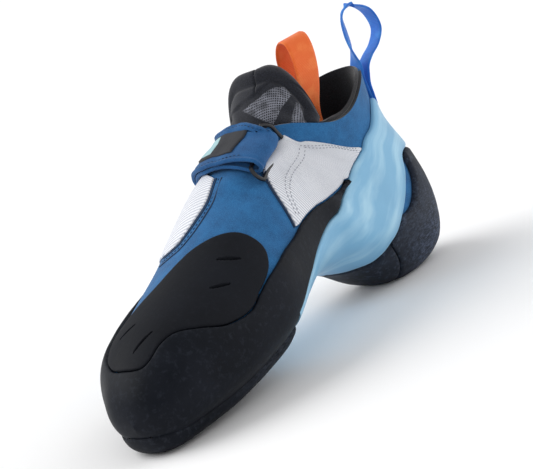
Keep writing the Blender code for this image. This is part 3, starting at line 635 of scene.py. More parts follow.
def knit_finish(name, shaded, plain, lit):
    """Brushed microfibre: a fine grain, soft mottling and a little sheen. Its colour mixes painted lit and
    shaded tones: the grain lightens it towards the lit tone, and the mottling and broad clouds darken it
    towards the shaded one.
    """
    made, tree = new_finish(name, Roughness=0.85, Sheen_Weight=0.12, Sheen_Roughness=0.45,
                            Specular_IOR_Level=0.18)
    where = object_place(tree)
    grain = noise(tree, where, 2600, 2.0)
    mottle = noise(tree, where, 140, 4.0)
    broad = noise(tree, where, 22, 2.0)
    rows = waves(tree, pattern_place(tree), "X", 4.2, 1.4, 6.0)
    # Painted light: mottling and broad clouds towards the shaded tone, fine grain towards the lit tone.
    colour = mix(tree, ramp(tree, mottle, 0.35, 0.65), shaded, plain)
    colour = mix(tree, ramp(tree, grain, 0.42, 0.70, 0.0, 0.55), colour, lit)
    colour = mix(tree, ramp(tree, broad, 0.30, 0.60, 0.35, 0.0), colour, shaded)
    return finished(made, colour, (grain, 0.35, 0.0003), (rows, 0.10, 0.0002),
                    (mottle, 0.12, 0.0006))


def rib_finish(name, trough_shade, crest, spacing):
    """Woven elastic: ribs round the foot at a spacing in centimetres, with threads across them. Its darker
    tone is painted shade: it fills the troughs between ribs and between threads, and soft clouds pull the
    colour towards it.
    """
    made, tree = new_finish(name, Roughness=0.80, Sheen_Weight=0.15, Sheen_Roughness=0.5,
                            Specular_IOR_Level=0.3)
    cloth = pattern_place(tree)
    ribs = waves(tree, cloth, "X", math.pi / 10 / spacing, 0.30, 2.0, 1.0)
    threads = waves(tree, cloth, "Y", 5.0, 0.6, 3.0)
    soft = noise(tree, object_place(tree), 90, 3.0)
    # The darker first colour is painted shade, laid in the troughs between ribs and between threads.
    colour = mix(tree, ramp(tree, ribs, 0.10, 0.60), trough_shade, crest)
    colour = mix(tree, ramp(tree, threads, 0.0, 0.4, 0.18, 0.0), colour, trough_shade)
    colour = mix(tree, ramp(tree, soft, 0.30, 0.65, 0.16, 0.0), colour, trough_shade)
    return finished(made, colour, (ribs, 0.55, 0.0005), (threads, 0.18, 0.0002))


def rubber_finish(name, deep, plain, dusty, roughness, dust=0.30, scuffs=0.0):
    """Climbing rubber: smooth with a fine grain, dust in it, and scuffs where it is marked."""
    made, tree = new_finish(name, Specular_IOR_Level=0.10)
    where = object_place(tree)
    grain = noise(tree, where, 1500, 3.0)
    cloud = noise(tree, where, 38, 4.0, 0.6)
    speck = noise(tree, where, 420, 5.0, 0.7)
    colour = mix(tree, ramp(tree, cloud, 0.35, 0.68), deep, plain)
    colour = mix(tree, ramp(tree, speck, 0.52, 0.74, 0.0, dust), colour, dusty)
    rough = ramp(tree, cloud, 0.3, 0.7, roughness - 0.06, roughness + 0.08)
    heights = [(grain, 0.22, 0.00025), (cloud, 0.20, 0.0012)]
    if scuffs:
        mark = painted(tree, "scuffed")
        scratch_place = add(tree, "ShaderNodeMapping", {"Vector": where, "Scale": (1, 0.45, 1.6),
                                                        "Rotation": (0.5, 0.3, 0)})
        scratches = noise(tree, scratch_place.outputs["Vector"], 700, 6.0, 0.75)
        worn = math_node(tree, "MULTIPLY", mark, ramp(tree, scratches, 0.44, 0.62))
        colour = mix(tree, math_node(tree, "MULTIPLY", worn, scuffs), colour, dusty)
        heights.append((math_node(tree, "MULTIPLY", mark, scratches), 0.5, 0.0006))
        rough = math_node(tree, "ADD", rough, math_node(tree, "MULTIPLY", worn, 0.15))
    return finished(made, colour, *heights, Roughness=rough)


def band_finish(name, shaded, plain, pale):
    """Stretched pale rubber: smooth and a little glossy. Faint painted highlight streaks run along its
    pull, and painted shade lies in soft clouds and along its rear edge.
    """
    made, tree = new_finish(name, Roughness=0.42, Specular_IOR_Level=0.45, Coat_Weight=0.08,
                            Coat_Roughness=0.35)
    where = object_place(tree)
    across = painted(tree, "across")
    along = math_node(tree, "MULTIPLY", painted(tree, "along"), 0.06)
    lanes = add(tree, "ShaderNodeCombineXYZ", {"X": across, "Y": along}).outputs["Vector"]
    highlight_streak = noise(tree, lanes, 4.5, 3.0, 0.5)
    grain = noise(tree, where, 1300, 3.0)
    cloud = noise(tree, where, 30, 3.0)
    # Painted highlight: streaks of the pale colour along the band.
    colour = mix(tree, ramp(tree, highlight_streak, 0.44, 0.66), plain, pale)
    # Painted shade: soft clouds and the band's rear edge take the shaded colour.
    colour = mix(tree, ramp(tree, cloud, 0.28, 0.55, 0.35, 0.0), colour, shaded)
    colour = mix(tree, ramp(tree, across, 0.80, 1.0, 0.0, 0.45), colour, shaded)
    return finished(made, colour, (grain, 0.15, 0.0002), (highlight_streak, 0.10, 0.0006))


def webbing_finish(name, shaded, plain, lit):
    """Flat woven tape: close threads along it and fine steps across. Painted shade darkens it between the
    threads, and soft patches lighten it towards a painted lit tone.
    """
    made, tree = new_finish(name, Roughness=0.62, Sheen_Weight=0.2, Specular_IOR_Level=0.4)
    cloth = pattern_place(tree)
    weave = math_node(tree, "MULTIPLY", waves(tree, cloth, "Y", 5.2, 0.3),
                      waves(tree, cloth, "X", 6.5, 0.8, 4.0))
    soft = noise(tree, object_place(tree), 160, 3.0)
    # Painted shade between the threads, and painted light in soft patches.
    colour = mix(tree, ramp(tree, weave, 0.05, 0.6), shaded, plain)
    colour = mix(tree, ramp(tree, soft, 0.45, 0.75, 0.0, 0.5), colour, lit)
    return finished(made, colour, (weave, 0.45, 0.0003))


def lining_finish(name, deep, plain):
    """Black brushed lining with a fine pile."""
    made, tree = new_finish(name, Roughness=0.92, Sheen_Weight=0.35, Sheen_Roughness=0.5,
                            Specular_IOR_Level=0.15)
    where = object_place(tree)
    pile = noise(tree, where, 1900, 3.0)
    soft = noise(tree, where, 110, 3.0)
    colour = mix(tree, ramp(tree, pile, 0.35, 0.7), deep, plain)
    return finished(made, colour, (pile, 0.4, 0.0003), (soft, 0.2, 0.0008))


def tongue_finish(name):
    """The tongue: padded black cloth, with open grey netting where the piece is marked for it."""
    made, tree = new_finish(name, Roughness=0.85, Sheen_Weight=0.25, Specular_IOR_Level=0.2)
    where = object_place(tree)
    cloth = pattern_place(tree)
    pile = noise(tree, where, 2100, 3.0)
    black = mix(tree, ramp(tree, pile, 0.35, 0.70), (0.008, 0.009, 0.012), (0.026, 0.028, 0.040))
    warp, weft = (ramp(tree, waves(tree, cloth, way, 2.6, 0.4, 3.0), 0.45, 0.85)
                  for way in ("X", "Y"))
    glints = noise(tree, where, 260, 2.0)
    thread = math_node(tree, "MULTIPLY", math_node(tree, "MAXIMUM", warp, weft),
                       ramp(tree, glints, 0.35, 0.65, 0.35, 1.0))
    netting = mix(tree, thread, (0.010, 0.011, 0.015), (0.26, 0.27, 0.32))
    mark = ramp(tree, painted(tree, "netting"), -0.0002, 0.0002)
    height = math_node(tree, "MULTIPLY", thread, mark)
    return finished(made, mix(tree, mark, black, netting), (pile, 0.35, 0.0003),
                    (height, 0.6, 0.0004))


def plain_finish(name, deep, plain, roughness, grain_scale=1200):
    """A simple finish with a fine grain and soft clouds."""
    made, tree = new_finish(name, Roughness=roughness)
    where = object_place(tree)
    colour = mix(tree, ramp(tree, noise(tree, where, 60, 3.0), 0.3, 0.7), deep, plain)
    return finished(made, colour, (noise(tree, where, grain_scale, 3.0), 0.2, 0.0002))


# Knit colours: a shaded tone, the plain colour and a lit tone, as painted light.
blue_knit = knit_finish("blue_knit", (0.014, 0.085, 0.225), (0.020, 0.135, 0.335), (0.050, 0.24, 0.51))
strap_knit = knit_finish("strap_knit", (0.012, 0.066, 0.190), (0.018, 0.100, 0.270), (0.045, 0.18, 0.40))
# white_elastic: the first colour is painted shade for the rib troughs, the second the white cloth.
white_elastic = rib_finish("white_elastic", (0.52, 0.55, 0.62), (0.92, 0.93, 0.97), 0.14)
black_rubber = rubber_finish("black_rubber", (0.003, 0.0045, 0.008), (0.008, 0.010, 0.016),
                             (0.040, 0.047, 0.066), 0.50)
patch_rubber = rubber_finish("patch_rubber", (0.005, 0.006, 0.009), (0.008, 0.0095, 0.014),
                             (0.030, 0.034, 0.045), 0.60, dust=0.12)
heel_black = rubber_finish("heel_rubber", (0.009, 0.012, 0.019), (0.022, 0.028, 0.042),
                           (0.15, 0.19, 0.29), 0.55, scuffs=0.60)
sole_rubber = rubber_finish("sole_rubber", (0.003, 0.0045, 0.008), (0.009, 0.011, 0.017),
                            (0.070, 0.080, 0.105), 0.58, dust=0.30, scuffs=0.5)
# The band's first colour is painted shade, and its third, pale one is a painted highlight for the streaks.
pale_rubber = band_finish("pale_blue_rubber", (0.110, 0.310, 0.520), (0.195, 0.450, 0.670),
                          (0.360, 0.620, 0.790))
lining = lining_finish("black_knit", (0.003, 0.0035, 0.005), (0.014, 0.015, 0.021))
padded_black = tongue_finish("tongue_cloth")
board = plain_finish("board", (0.10, 0.10, 0.09), (0.20, 0.19, 0.17), 0.9)
# Tape colours: a shaded tone, the plain colour and a lit tone, as painted light.
orange_tape = webbing_finish("orange_webbing", (0.80, 0.110, 0.010), (0.98, 0.200, 0.020),
                             (1.00, 0.31, 0.07))
blue_tape = webbing_finish("blue_webbing", (0.006, 0.130, 0.560), (0.008, 0.210, 0.760),
                           (0.06, 0.36, 0.86))
ring_plastic = plain_finish("black_plastic", (0.008, 0.008, 0.010), (0.014, 0.014, 0.017), 0.35)
badge_cloth = plain_finish("badge", (0.008, 0.009, 0.013), (0.016, 0.018, 0.025), 0.7, 2000)
label_cloth = plain_finish("label", (0.26, 0.48, 0.56), (0.42, 0.62, 0.64), 0.7, 2000)
grey_thread = plain_finish("grey_thread", (0.30, 0.31, 0.36), (0.42, 0.43, 0.49), 0.8)
dark_thread = plain_finish("dark_thread", (0.006, 0.022, 0.060), (0.012, 0.040, 0.100), 0.8)
black_thread = plain_finish("black_thread", (0.030, 0.032, 0.042), (0.070, 0.074, 0.095), 0.8)


def layer(outlines, free_edges, thickness, folds=(), rim_width=RUBBER_RIM):
    """A sheet of a thickness over the upper, with rounded free edges and soft folds."""
    rim_at = rim_finder(free_edges)

    def outer(u, v):
        full = thickness * rounded(rim_at(u, v), rim_width) + fold_lift(u, v, folds)
        return skin(u, v, GAP + max(full, 0.1 * thickness))
    return wrapped(flat_pattern(*outlines), outer, lambda u, v: skin(u, v, GAP))


def upper_shell():
    """The hollow upper, open at the collar and underneath, with its lining's finish inside."""
    (front, back), half = LASTING_OPENING
    spots = [(0, 0), (front, 0), (front, half), (back, half), (back, 0), (COLLAR, 0),
             (COLLAR, ROUND), (back, ROUND), (back, ROUND - half), (front, ROUND - half),
             (front, ROUND), (0, ROUND)]
    sheet = wrapped(flat_pattern(spots, rims=()),
                    lambda u, v: skin(u, v, fold_lift(u, v, VAMP_FOLDS)),
                    lambda u, v: skin(u, v, -UPPER_WALL))
    along = sheet.verts.layers.float["along"]
    around = sheet.verts.layers.float["around"]

    def is_inside(face):
        centre = face.calc_center_median()
        vert = face.verts[0]
        return (centre - skin(vert[along], vert[around], -UPPER_WALL)).length < 0.0028 and \
            face.normal.dot(outward(vert[along], vert[around])) < 0
    place("upper", sheet, blue_knit, ["upper"], inside_finish=lining,
          inside=is_inside)


def insole():
    """The board over the opening under the foot, inside the upper."""
    (front, back), half = LASTING_OPENING
    wide = half + INSOLE_OVERLAP
    front, back = front - INSOLE_FRONT, back + INSOLE_BACK
    spots = [(front, -wide), (back, -wide), (back, wide), (front, wide)]
    sheet = wrapped(flat_pattern(spots, rims=(), lines=(4, 28)),
                    lambda u, v: skin(u, v, LINING_LIFT),
                    lambda u, v: skin(u, v, LINING_LIFT - INSOLE_THICKNESS))
    place("insole", sheet, lining, ["insole"])


def rand():
    """Toe cap and side rubber in one piece. It runs between patch, band and sole."""
    side = smooth_edge([spot for spot in BAND_FRONT if spot[0] < RAND_END][::-1])
    cap = MIDSOLE_FRONT - 0.03
    edges = (beside(side, SEAM), beside(smooth_edge(RAND_TOP_INNER), -SEAM)[::-1],
             beside(smooth_edge(TOE_SEAM), SEAM), beside(smooth_edge(RAND_TOP_OUTER), SEAM),
             beside(mirrored(side[::-1]), SEAM))
    spots = outline(((0, 0), (cap, 0), (cap, RAND_LOWER), (SOLE_BACK, RAND_LOWER)), *edges,
                    ((SOLE_BACK, ROUND - RAND_LOWER), (cap, ROUND - RAND_LOWER), (cap, ROUND),
                     (0, ROUND)))
    sheet = layer([spots], edges, RAND_THICKNESS, RAND_FOLDS)
    place("rand", sheet, black_rubber, ["rand"])


def outsole():
    """The sole's rubber. Its edge runs out thin on the rand, thinnest round the toe."""
    top = GAP + MIDSOLE_THICKNESS + GAP
    side = [(SOLE_BACK, SOLE_EDGE)] + smooth_edge(SOLE_TOE)
    spots = outline(side, opposite(side[::-1]))
    rim_at = rim_finder([spots + spots[:1]])

    def ground(u, v):
        point = skin(u, v, top)
        width = SOLE_RIM + SOLE_TOE_RIM * (1 - ease(u, 1.0, 3.5))
        full = rounded(rim_at(u, v), width, SOLE_RIM_FULL)
        point.z = max(point.z - OUTSOLE_THICKNESS * full, 0.0)
        return point

    def seat(u, v):
        return skin(u, v, top - SOLE_SEAT * ease(abs(v), RAND_LOWER, RAND_LOWER + 0.03))
    sheet = wrapped(flat_pattern(spots), ground, seat)

    def scuffs(u, v):
        return ease(u, *SCUFFED_SOLE) * (1 - 0.6 * min(rim_at(u, v) / 0.006, 1.0))
    marked(sheet, "scuffed", scuffs)
    place("outsole", sheet, sole_rubber, ["outsole"])


def in_slit(u, v):
    """How far a place is inside a slit of the toe patch, from 0 outside to 1 in its middle."""
    deepest = 0.0
    spot = on_paper(u, v)
    for start, end in SLITS:
        first, last = on_paper(*start), on_paper(*end)
        run = (last - first).normalized()
        away = spot - (first + last) / 2
        along = away.dot(run) / ((last - first).length / 2)
        across = (away - run * away.dot(run)).length
        reach = 1 - along * along
        if reach > 0:
            deepest = max(deepest, 1 - (across / (SLIT_WIDTH * (0.3 + 0.7 * reach))) ** 2)
    return min(1.6 * max(deepest, 0.0), 1.0)


def toe_patch():
    """The rubber over the toes, with finer rows round its four slits."""
    edges = (smooth_edge(TOE_SEAM), smooth_edge(PATCH_BACK))
    spots = outline(*edges)
    rim_at = rim_finder(edges)
    pattern = flat_pattern(spots)
    for start, end in SLITS:
        sides = [sorted(side) for side in zip(on_paper(*start).xy, on_paper(*end).xy)]
        box = [[low_side - SLIT_MARGIN for low_side, _ in sides],
               [high_side + SLIT_MARGIN for _, high_side in sides]]
        for axis in (0, 1):
            cut_lines(pattern, axis, SLIT_LINES, box)

    def outer(u, v):
        full = PATCH_THICKNESS * rounded(rim_at(u, v), RUBBER_RIM)
        return skin(u, v, GAP + full - SLIT_DEPTH * in_slit(u, v))
    sheet = wrapped(pattern, outer, lambda u, v: skin(u, v, GAP))
    place("toe_patch", sheet, patch_rubber, ["toe_patch"])


def tension_band():
    """The pale band: an inner and an outer half that meet under the arch and behind the heel."""
    front, rear = smooth_edge(BAND_FRONT), smooth_edge(BAND_REAR)
    inner = outline(front, ((BAND_FRONT[-1][0], 0),), rear)
    free = [front, rear, opposite(front), opposite(rear)]
    sheet = layer([inner, opposite(inner)], free, BAND_THICKNESS, BAND_FOLDS, BAND_RIM)
    from_front, from_rear = rim_finder(free[::2]), rim_finder(free[1::2])

    def across(u, v):
        near = from_front(u, v)
        return near / (near + from_rear(u, v) + 1e-6)
    marked(sheet, "across", across)
    place("tension_band", sheet, pale_rubber, ["tension_band"])


def heel_rubber(name, edge, free_edges):
    """A piece of the heel's rubber: a pad under the heel, flat where it meets the floor."""
    half = [(u, max(v, 0.0)) for u, v in edge]
    spots = outline(half, opposite(half[::-1]))
    rim_at = rim_finder(free_edges + [opposite(run) for run in free_edges])
    front, full, still_full, back = PAD_SECTIONS

    def outer(u, v):
        pad = ease(u, front, full) * (1 - ease(u, still_full, back))
        pad *= 1 - ease(abs(v), 0.3 * PAD_HALF_GIRTH, PAD_HALF_GIRTH)
        lift = HEEL_THICKNESS * rounded(rim_at(u, v), HEEL_RIM) + HEEL_PAD * pad
        point = skin(u, v, GAP + lift)
        point.z = max(point.z, 0.0)
        return point
    sheet = wrapped(flat_pattern(spots), outer, lambda u, v: skin(u, v, GAP))

    def scuffs(u, v):
        low_back = ease(u, *SCUFFED_HEEL[:2]) * (1 - ease(u, *SCUFFED_HEEL[2:]))
        return low_back * (1 - 0.7 * ease(abs(v), 0.16, 0.36))
    marked(sheet, "scuffed", scuffs)
    place(name, sheet, heel_black, [name])


def heel_pieces():
    """The heel's base and cup, with the seam between them."""
    rear = smooth_edge(BAND_REAR)
    seam = smooth_edge(HEEL_SEAM)
    base_side = beside([spot for spot in rear if spot[0] < HEEL_SEAM[0][0] - 0.05], -SEAM)
    base_seam = beside(seam, -SEAM)
    heel_rubber("heel_base", outline(base_side, base_seam), [base_side, base_seam])
    cup_side = beside([spot for spot in rear
                       if HEEL_SEAM[0][0] + 0.05 < spot[0] < HEEL_EDGE[0][0] + 0.01], -SEAM)
    cup_edge = beside(smooth_edge(HEEL_EDGE), -SEAM)
    cup_top = beside([spot for spot in rear if spot[0] > HEEL_EDGE[-1][0] + 0.01], -SEAM)
    cup = outline(seam[::-1], cup_side, cup_edge, cup_top)
    heel_rubber("heel_cup", cup, [seam[::-1], cup_side, cup_edge, cup_top])


def stitch_row(name, path, stitch, finish):
    """Stitches sunk a little in the cloth. The path is a list of (point, normal)."""
    spacing, length, width = stitch
    row = bmesh.new()
    carried = spacing / 2
    for (here, normal), (there, _) in zip(path, path[1:]):
        run = there - here
        reach = run.length
        while carried < reach:
            along = run.normalized()
            side = normal.cross(along).normalized()
            up = along.cross(side)
            turn = Matrix((along, side, up)).transposed().to_4x4()
            size = Matrix.Diagonal((length / 2, width / 2, width / 2, 1))
            spot = Matrix.Translation(here + run * (carried / reach) + up * width * 0.12)
            bmesh.ops.create_icosphere(row, subdivisions=1, radius=1, matrix=spot @ turn @ size)
            carried += spacing
        carried -= reach
    place(name, row, finish, sharp=80)


def cord_on(name, points, radius, finish, replaced=()):
    """A thin round cord or piping along points, as a mesh."""
    curve = bpy.data.curves.new(name, "CURVE")
    curve.dimensions = "3D"
    curve.bevel_depth = radius
    curve.bevel_resolution = 2
    curve.use_fill_caps = True
    spline = curve.splines.new("POLY")
    spline.points.add(len(points) - 1)
    for point, at in zip(spline.points, points):
        point.co = (*at, 1)
    laid = bpy.data.objects.new(name + "_line", curve)
    bpy.context.scene.collection.objects.link(laid)
    mesh = bpy.data.meshes.new_from_object(laid.evaluated_get(
        bpy.context.evaluated_depsgraph_get()))
    bpy.data.objects.remove(laid)
    edit = bmesh.new()
    edit.from_mesh(mesh)
    place(name, edit, finish, replaced)


def thread_path(edge, lift, folds=()):
    """Points and normals along an edge of the last, for a row of stitches."""
    return [(skin(u, v, lift + fold_lift(u, v, folds)), outward(u, v)) for u, v in edge]


def elastic_panel_inner():
    """The white elastic beside the strap, with its stitch rows and the seam at its front."""
    top, ridge, front = (smooth_edge(edge) for edge in PANEL_INNER)
    start, end = INNER_PANEL_ENDS
    lower = beside([spot for spot in smooth_edge(RAND_TOP_INNER) if start < spot[0]], SEAM)
    band_side = smooth_edge(BAND_FRONT)[::-1]
    rear = beside([spot for spot in band_side if RAND_END + 0.2 < spot[0] < end], SEAM)
    edges = (top, ridge, front, lower, rear)
    sheet = layer([outline(*edges)], edges, PANEL_THICKNESS, PANEL_FOLDS, PANEL_RIM)
    place("elastic_panel_inner", sheet, white_elastic, ["elastic_panel_inner"])
    for where, row in (("keeper", KEEPER_STITCHES), ("top", TOP_STITCHES)):
        for n, away in enumerate(PANEL_ROWS):
            path = thread_path(beside(smooth_edge(row), away), GAP + PANEL_THICKNESS, PANEL_FOLDS)
            stitch_row(f"panel_{where}_stitches_{n + 1}", path, PANEL_STITCH, grey_thread)
    seam = [skin(u, v, GAP) for u, v in beside(front, PANEL_SEAM_ASIDE)]
    cord_on("panel_seam", seam, PANEL_SEAM, dark_thread)


def elastic_panel_outer():
    """The white elastic on the outer side, with the vamp's two seams and a stitch row beside it."""
    front, side, back = (smooth_edge(edge) for edge in PANEL_OUTER)
    start, end = OUTER_PANEL_ENDS
    lower = beside([spot for spot in smooth_edge(RAND_TOP_OUTER) if start < spot[0] < end], -SEAM)
    edges = (front, side, lower, back)
    sheet = layer([outline(*edges)], edges, PANEL_THICKNESS, (), PANEL_RIM)
    place("elastic_panel_outer", sheet, white_elastic, ["elastic_panel_outer"])
    border = outline(front, side[:10])
    for n, away in enumerate(VAMP_SEAMS):
        seam = [skin(u, v, 0.0001) for u, v in beside(border, away)]
        cord_on(f"vamp_seam_{n + 1}", seam, VAMP_SEAM, dark_thread)
    stitch_row("vamp_stitches", thread_path(beside(border, VAMP_ROW), 0.0001), VAMP_STITCH,
               dark_thread)


def strip(rows, columns):
    """A flat unit square, cut into rows along x and columns along y."""
    pattern = bmesh.new()
    bmesh.ops.create_grid(pattern, x_segments=rows, y_segments=columns, size=0.5)
    bmesh.ops.translate(pattern, verts=pattern.verts, vec=(0.5, 0.5, 0))
    return pattern


def collar_cuff():
    """The black lining, from deep in the heel up to the rolled rim that shows over the collar."""
    start, end = CUFF_GIRTHS

    def face(lift, is_outer):
        def point(s, t):
            v = start + (end - start) * s
            if t <= 0.85:
                return skin(COLLAR - LINING_DEPTH * (1 - t / 0.85), v, lift)
            climb = (t - 0.85) / 0.15 * (0.2 + 0.8 * ease(min(s, 1 - s), 0.0, 0.05))
            edge = skin(COLLAR, v, lift)
            rise = (edge - skin(COLLAR - 0.5, v, lift)).normalized()
            bulge = 0.0007 * math.sin(math.pi * climb) * (1 if is_outer else 0.3)
            pinch = (0.5 * LINING_THICKNESS) * max(climb - 0.6, 0) / 0.4 * (-1 if is_outer else 1)
            return edge + rise * CUFF_RISE * climb + outward(COLLAR, v) * (bulge + pinch)
        return point
    sheet = wrapped(strip(150, 60), face(LINING_LIFT, True),
                    face(LINING_LIFT - LINING_THICKNESS, False), (12.0, 6.0))
    place("collar_cuff", sheet, lining, ["collar_cuff"])


def tongue_height(s):
    """How high the tongue stands over the collar at s."""
    return CUFF_RISE + (TONGUE_RISE - CUFF_RISE) * (1 - abs(2 * s - 1) ** TONGUE_ARCH_POWER)


def tongue_point(s, t, lift):
    """The tongue: s across from the inner side, t up from its foot inside the shoe."""
    girth = TONGUE_GIRTH + TONGUE_HALF_GIRTH * (2 * s - 1)
    if t <= 0.5:
        return skin(TONGUE_FOOT + (COLLAR - TONGUE_FOOT) * 2 * t, girth, lift)
    rise = tongue_height(s) * (2 * t - 1)
    lean = math.radians(TONGUE_LEAN)
    return skin(COLLAR, girth, lift) + rise * Vector((0, math.sin(lean), math.cos(lean)))


def in_corners(spot, corners):
    """How far a spot of the tongue lies inside a patch, in metres, or outside if negative."""
    wide, high_up = TONGUE_FACE
    depths = []
    for (s0, t0), (s1, t1) in zip(corners, corners[1:] + corners[:1]):
        run = Vector(((s1 - s0) * wide, (t1 - t0) * high_up)).normalized()
        away = Vector(((spot[0] - s0) * wide, (spot[1] - t0) * high_up))
        depths.append(away.x * run.y - away.y * run.x)
    return min(depths)


def tongue():
    """The tongue, with a padded binding round its edge and netting let into its face."""
    span = TONGUE_HALF_GIRTH * HALF_GIRTH_LENGTH
    (low_s, low_t), (high_s, high_t) = TONGUE_PANEL
    slope = (high_t - low_t) / (high_s - low_s)

    def rim_of(s, t):
        if t <= 0.5:
            return min(s, 1 - s) * 2 * span + 0.01
        return min((1 - t) * 2 * tongue_height(s), min(s, 1 - s) * 2 * span * 1.1)

    def outer(s, t):
        rim = rim_of(s, t)
        above = ease(t, 0.42, 0.56)
        binding = swell(rim, *TONGUE_BINDING) + swell(rim, *TONGUE_GROOVE)
        crease = 0.00035 * math.sin(23 * s - 31 * t) * ease(rim, 0.008, 0.014)
        panel = ease((t - low_t - (s - low_s) * slope) * 0.055, 0.0, 0.0010)
        seam = swell((s - TONGUE_SEAM) * TONGUE_FACE[0], 0.0007, 0.0, 0.0005)
        face = binding + crease * (1 - panel) + panel * (0.0007 - seam)
        edge = -0.5 * TONGUE_THICKNESS * (1 - min(rim / 0.0015, 1.0)) ** 2
        return tongue_point(s, t, LINING_LIFT + above * face + edge)

    def inner(s, t):
        edge = 0.5 * TONGUE_THICKNESS * (1 - min(rim_of(s, t) / 0.0015, 1.0)) ** 2
        return tongue_point(s, t, LINING_LIFT - TONGUE_THICKNESS + edge)
    sheet = wrapped(strip(120, 110), outer, inner, (7.0, 6.0))

    def net(s, t):
        return max(in_corners((s, t), corners) for corners in NETTING)
    marked(sheet, "netting", net)
    place("tongue", sheet, padded_black, ["tongue"])
    row = [(tongue_point(s, 0.935, LINING_LIFT + 0.0016),
            tongue_point(s, 0.9, 0.001) - tongue_point(s, 0.9, 0))
           for s in (0.24 + 0.012 * k for k in range(22))]
    stitch_row("tongue_stitches", row, TONGUE_STITCH, black_thread)


STRAP_DIRECTION = Vector((0, math.cos(math.radians(STRAP_PITCH)),
                          math.sin(math.radians(STRAP_PITCH))))


@functools.cache
def strap_seat(girth, c):
    """The place and normal at a girth that lies c along the instep from the throat's edge."""
    edge = on_last(COLLAR, girth)
    target = STRAP_DIRECTION.dot(on_last(COLLAR, 1)) + c + STRAP_SWEEP * max(girth - SWEEP_START, 0)
    beyond = target - STRAP_DIRECTION.dot(edge)
    if beyond >= 0:
        return edge + STRAP_DIRECTION * beyond, outward(COLLAR, girth)
    near, far = 5.0, float(COLLAR)
    while far - near > 1e-3:
        middle = (near + far) / 2
        if STRAP_DIRECTION.dot(on_last(middle, girth)) < target:
            near = middle
        else:
            far = middle
    return on_last(near, girth), outward(near, girth)


def strap_point(girth, c, lift):
    """The point at a girth and c along the instep that lies a lift over the shoe."""
    seat, normal = strap_seat(girth, c)
    return seat + normal * lift


def fold_turn():
    """The radius of the strap's fold round the ring's bar, in girth."""
    return (RING_WIRE / 2 + 3 * GAP + STRAP_THICKNESS / 2) / INSTEP_GIRTH_LENGTH


def strap_path():
    """Centre line of the folded strap as (girth, lift): out to the ring, round it and back."""
    bottom = GAP + PANEL_THICKNESS + GAP + STRAP_THICKNESS / 2
    pitch = STRAP_THICKNESS + GAP
    turn = fold_turn()
    radius = turn * INSTEP_GIRTH_LENGTH
    path = [(STRAP_ANCHOR - k * (STRAP_ANCHOR - STRAP_FOLD - 3 * turn) / 8, bottom)
            for k in range(9)]
    for k in range(7):
        angle = math.pi * k / 6
        path.append((STRAP_FOLD + turn * (1 - math.sin(angle)),
                     bottom + radius * (1 - math.cos(angle))))
    start = STRAP_FOLD + 3.6 * turn
    path += [(start + k * (STRAP_END - start) / 7, bottom + pitch) for k in range(8)]
    return path


def strap():
    """The strap, folded round the ring and back over itself, with a stitch row on each side."""
    path = smooth_edge(strap_path(), PATH_STEPS)
    last = len(path) - 1

    def centre(s, t):
        girth, lift = path[round(s * last)]
        near_fold = 1 - ease(girth, STRAP_FOLD, STRAP_FOLD + 0.16)
        shift = FOLD_CORNER * abs(2 * t - 1) ** 6 - FOLD_SLANT * (1 - t)
        return strap_point(girth + near_fold * shift, (t - 0.5) * STRAP_WIDTH + STRAP_CENTRE, lift)

    def face(side):
        def point(s, t):
            h = 1 / last
            ahead, behind = centre(min(s + h, 1), t), centre(max(s - h, 0), t)
            wide = centre(s, min(t + 0.1, 1)) - centre(s, max(t - 0.1, 0))
            normal = (ahead - behind).cross(wide).normalized()
            rim = min(t, 1 - t) * STRAP_WIDTH
            half = STRAP_THICKNESS / 2 * rounded(rim, RUBBER_RIM) - swell(rim, *STRAP_PRESSED)
            return centre(s, t) + normal * side * half
        return point
    sheet = wrapped(strip(last, 40), face(1), face(-1), (12.0, 2.65))
    place("strap", sheet, strap_knit, ["strap"])
    upper_layer = path[FOLD_END * PATH_STEPS:]
    for n, t in enumerate(STRAP_ROWS):
        c = (t - 0.5) * STRAP_WIDTH + STRAP_CENTRE
        row = [(strap_point(girth, c, lift + STRAP_THICKNESS / 2 - 0.0004),
                strap_seat(girth, c)[1]) for girth, lift in upper_layer]
        stitch_row(f"strap_stitches_{n + 1}", row, STRAP_STITCH, dark_thread)


def strap_ring():
    """A rectangular ring of plastic wire: one bar lies in the strap's fold, one on the panel."""
    bottom = RING_SEAT + RING_WIRE / 2
    in_fold = strap_path()[FOLD_POINT][1]
    half = STRAP_WIDTH / 2 + RING_REACH
    bar = [(-1 + RING_CORNER + (2 - 2 * RING_CORNER) * k / 16) * half for k in range(17)]
    slants = [FOLD_SLANT * (half - c) / (2 * half) for c in bar]
    ring = [(STRAP_FOLD + fold_turn() - slant, c, in_fold) for slant, c in zip(slants, bar)]
    ring += [(RING_BACK - 0.4 * slant, c, bottom) for slant, c in zip(slants[::-1], bar[::-1])]
    points = []
    for i, (girth, c, lift) in enumerate(ring):
        points.append(strap_point(girth, STRAP_CENTRE + c, lift))
        next_girth, next_c, next_lift = ring[(i + 1) % len(ring)]
        if c != next_c:
            continue
        for share in (k / 6 for k in range(1, 6)):
            reach = math.sin(math.pi * share) * RING_CORNER * half * RING_SWELL
            points.append(strap_point(girth + (next_girth - girth) * share,
                                      STRAP_CENTRE + c + math.copysign(reach, c),
                                      lift + (next_lift - lift) * share))
    points.append(points[0])
    cord_on("strap_ring", points, RING_WIRE / 2, ring_plastic, ["strap_ring"])


@functools.cache
def strap_top(girth):
    """The lift of the strap's outer face on its upper layer, from the fold's end on."""
    layer = smooth_edge(strap_path(), PATH_STEPS)[FOLD_END * PATH_STEPS:]
    for (near, low_lift), (far, high_lift) in zip(layer, layer[1:]):
        if girth <= far:
            share = (girth - near) / (far - near)
            return low_lift + (high_lift - low_lift) * share + STRAP_THICKNESS / 2
    return layer[-1][1] + STRAP_THICKNESS / 2


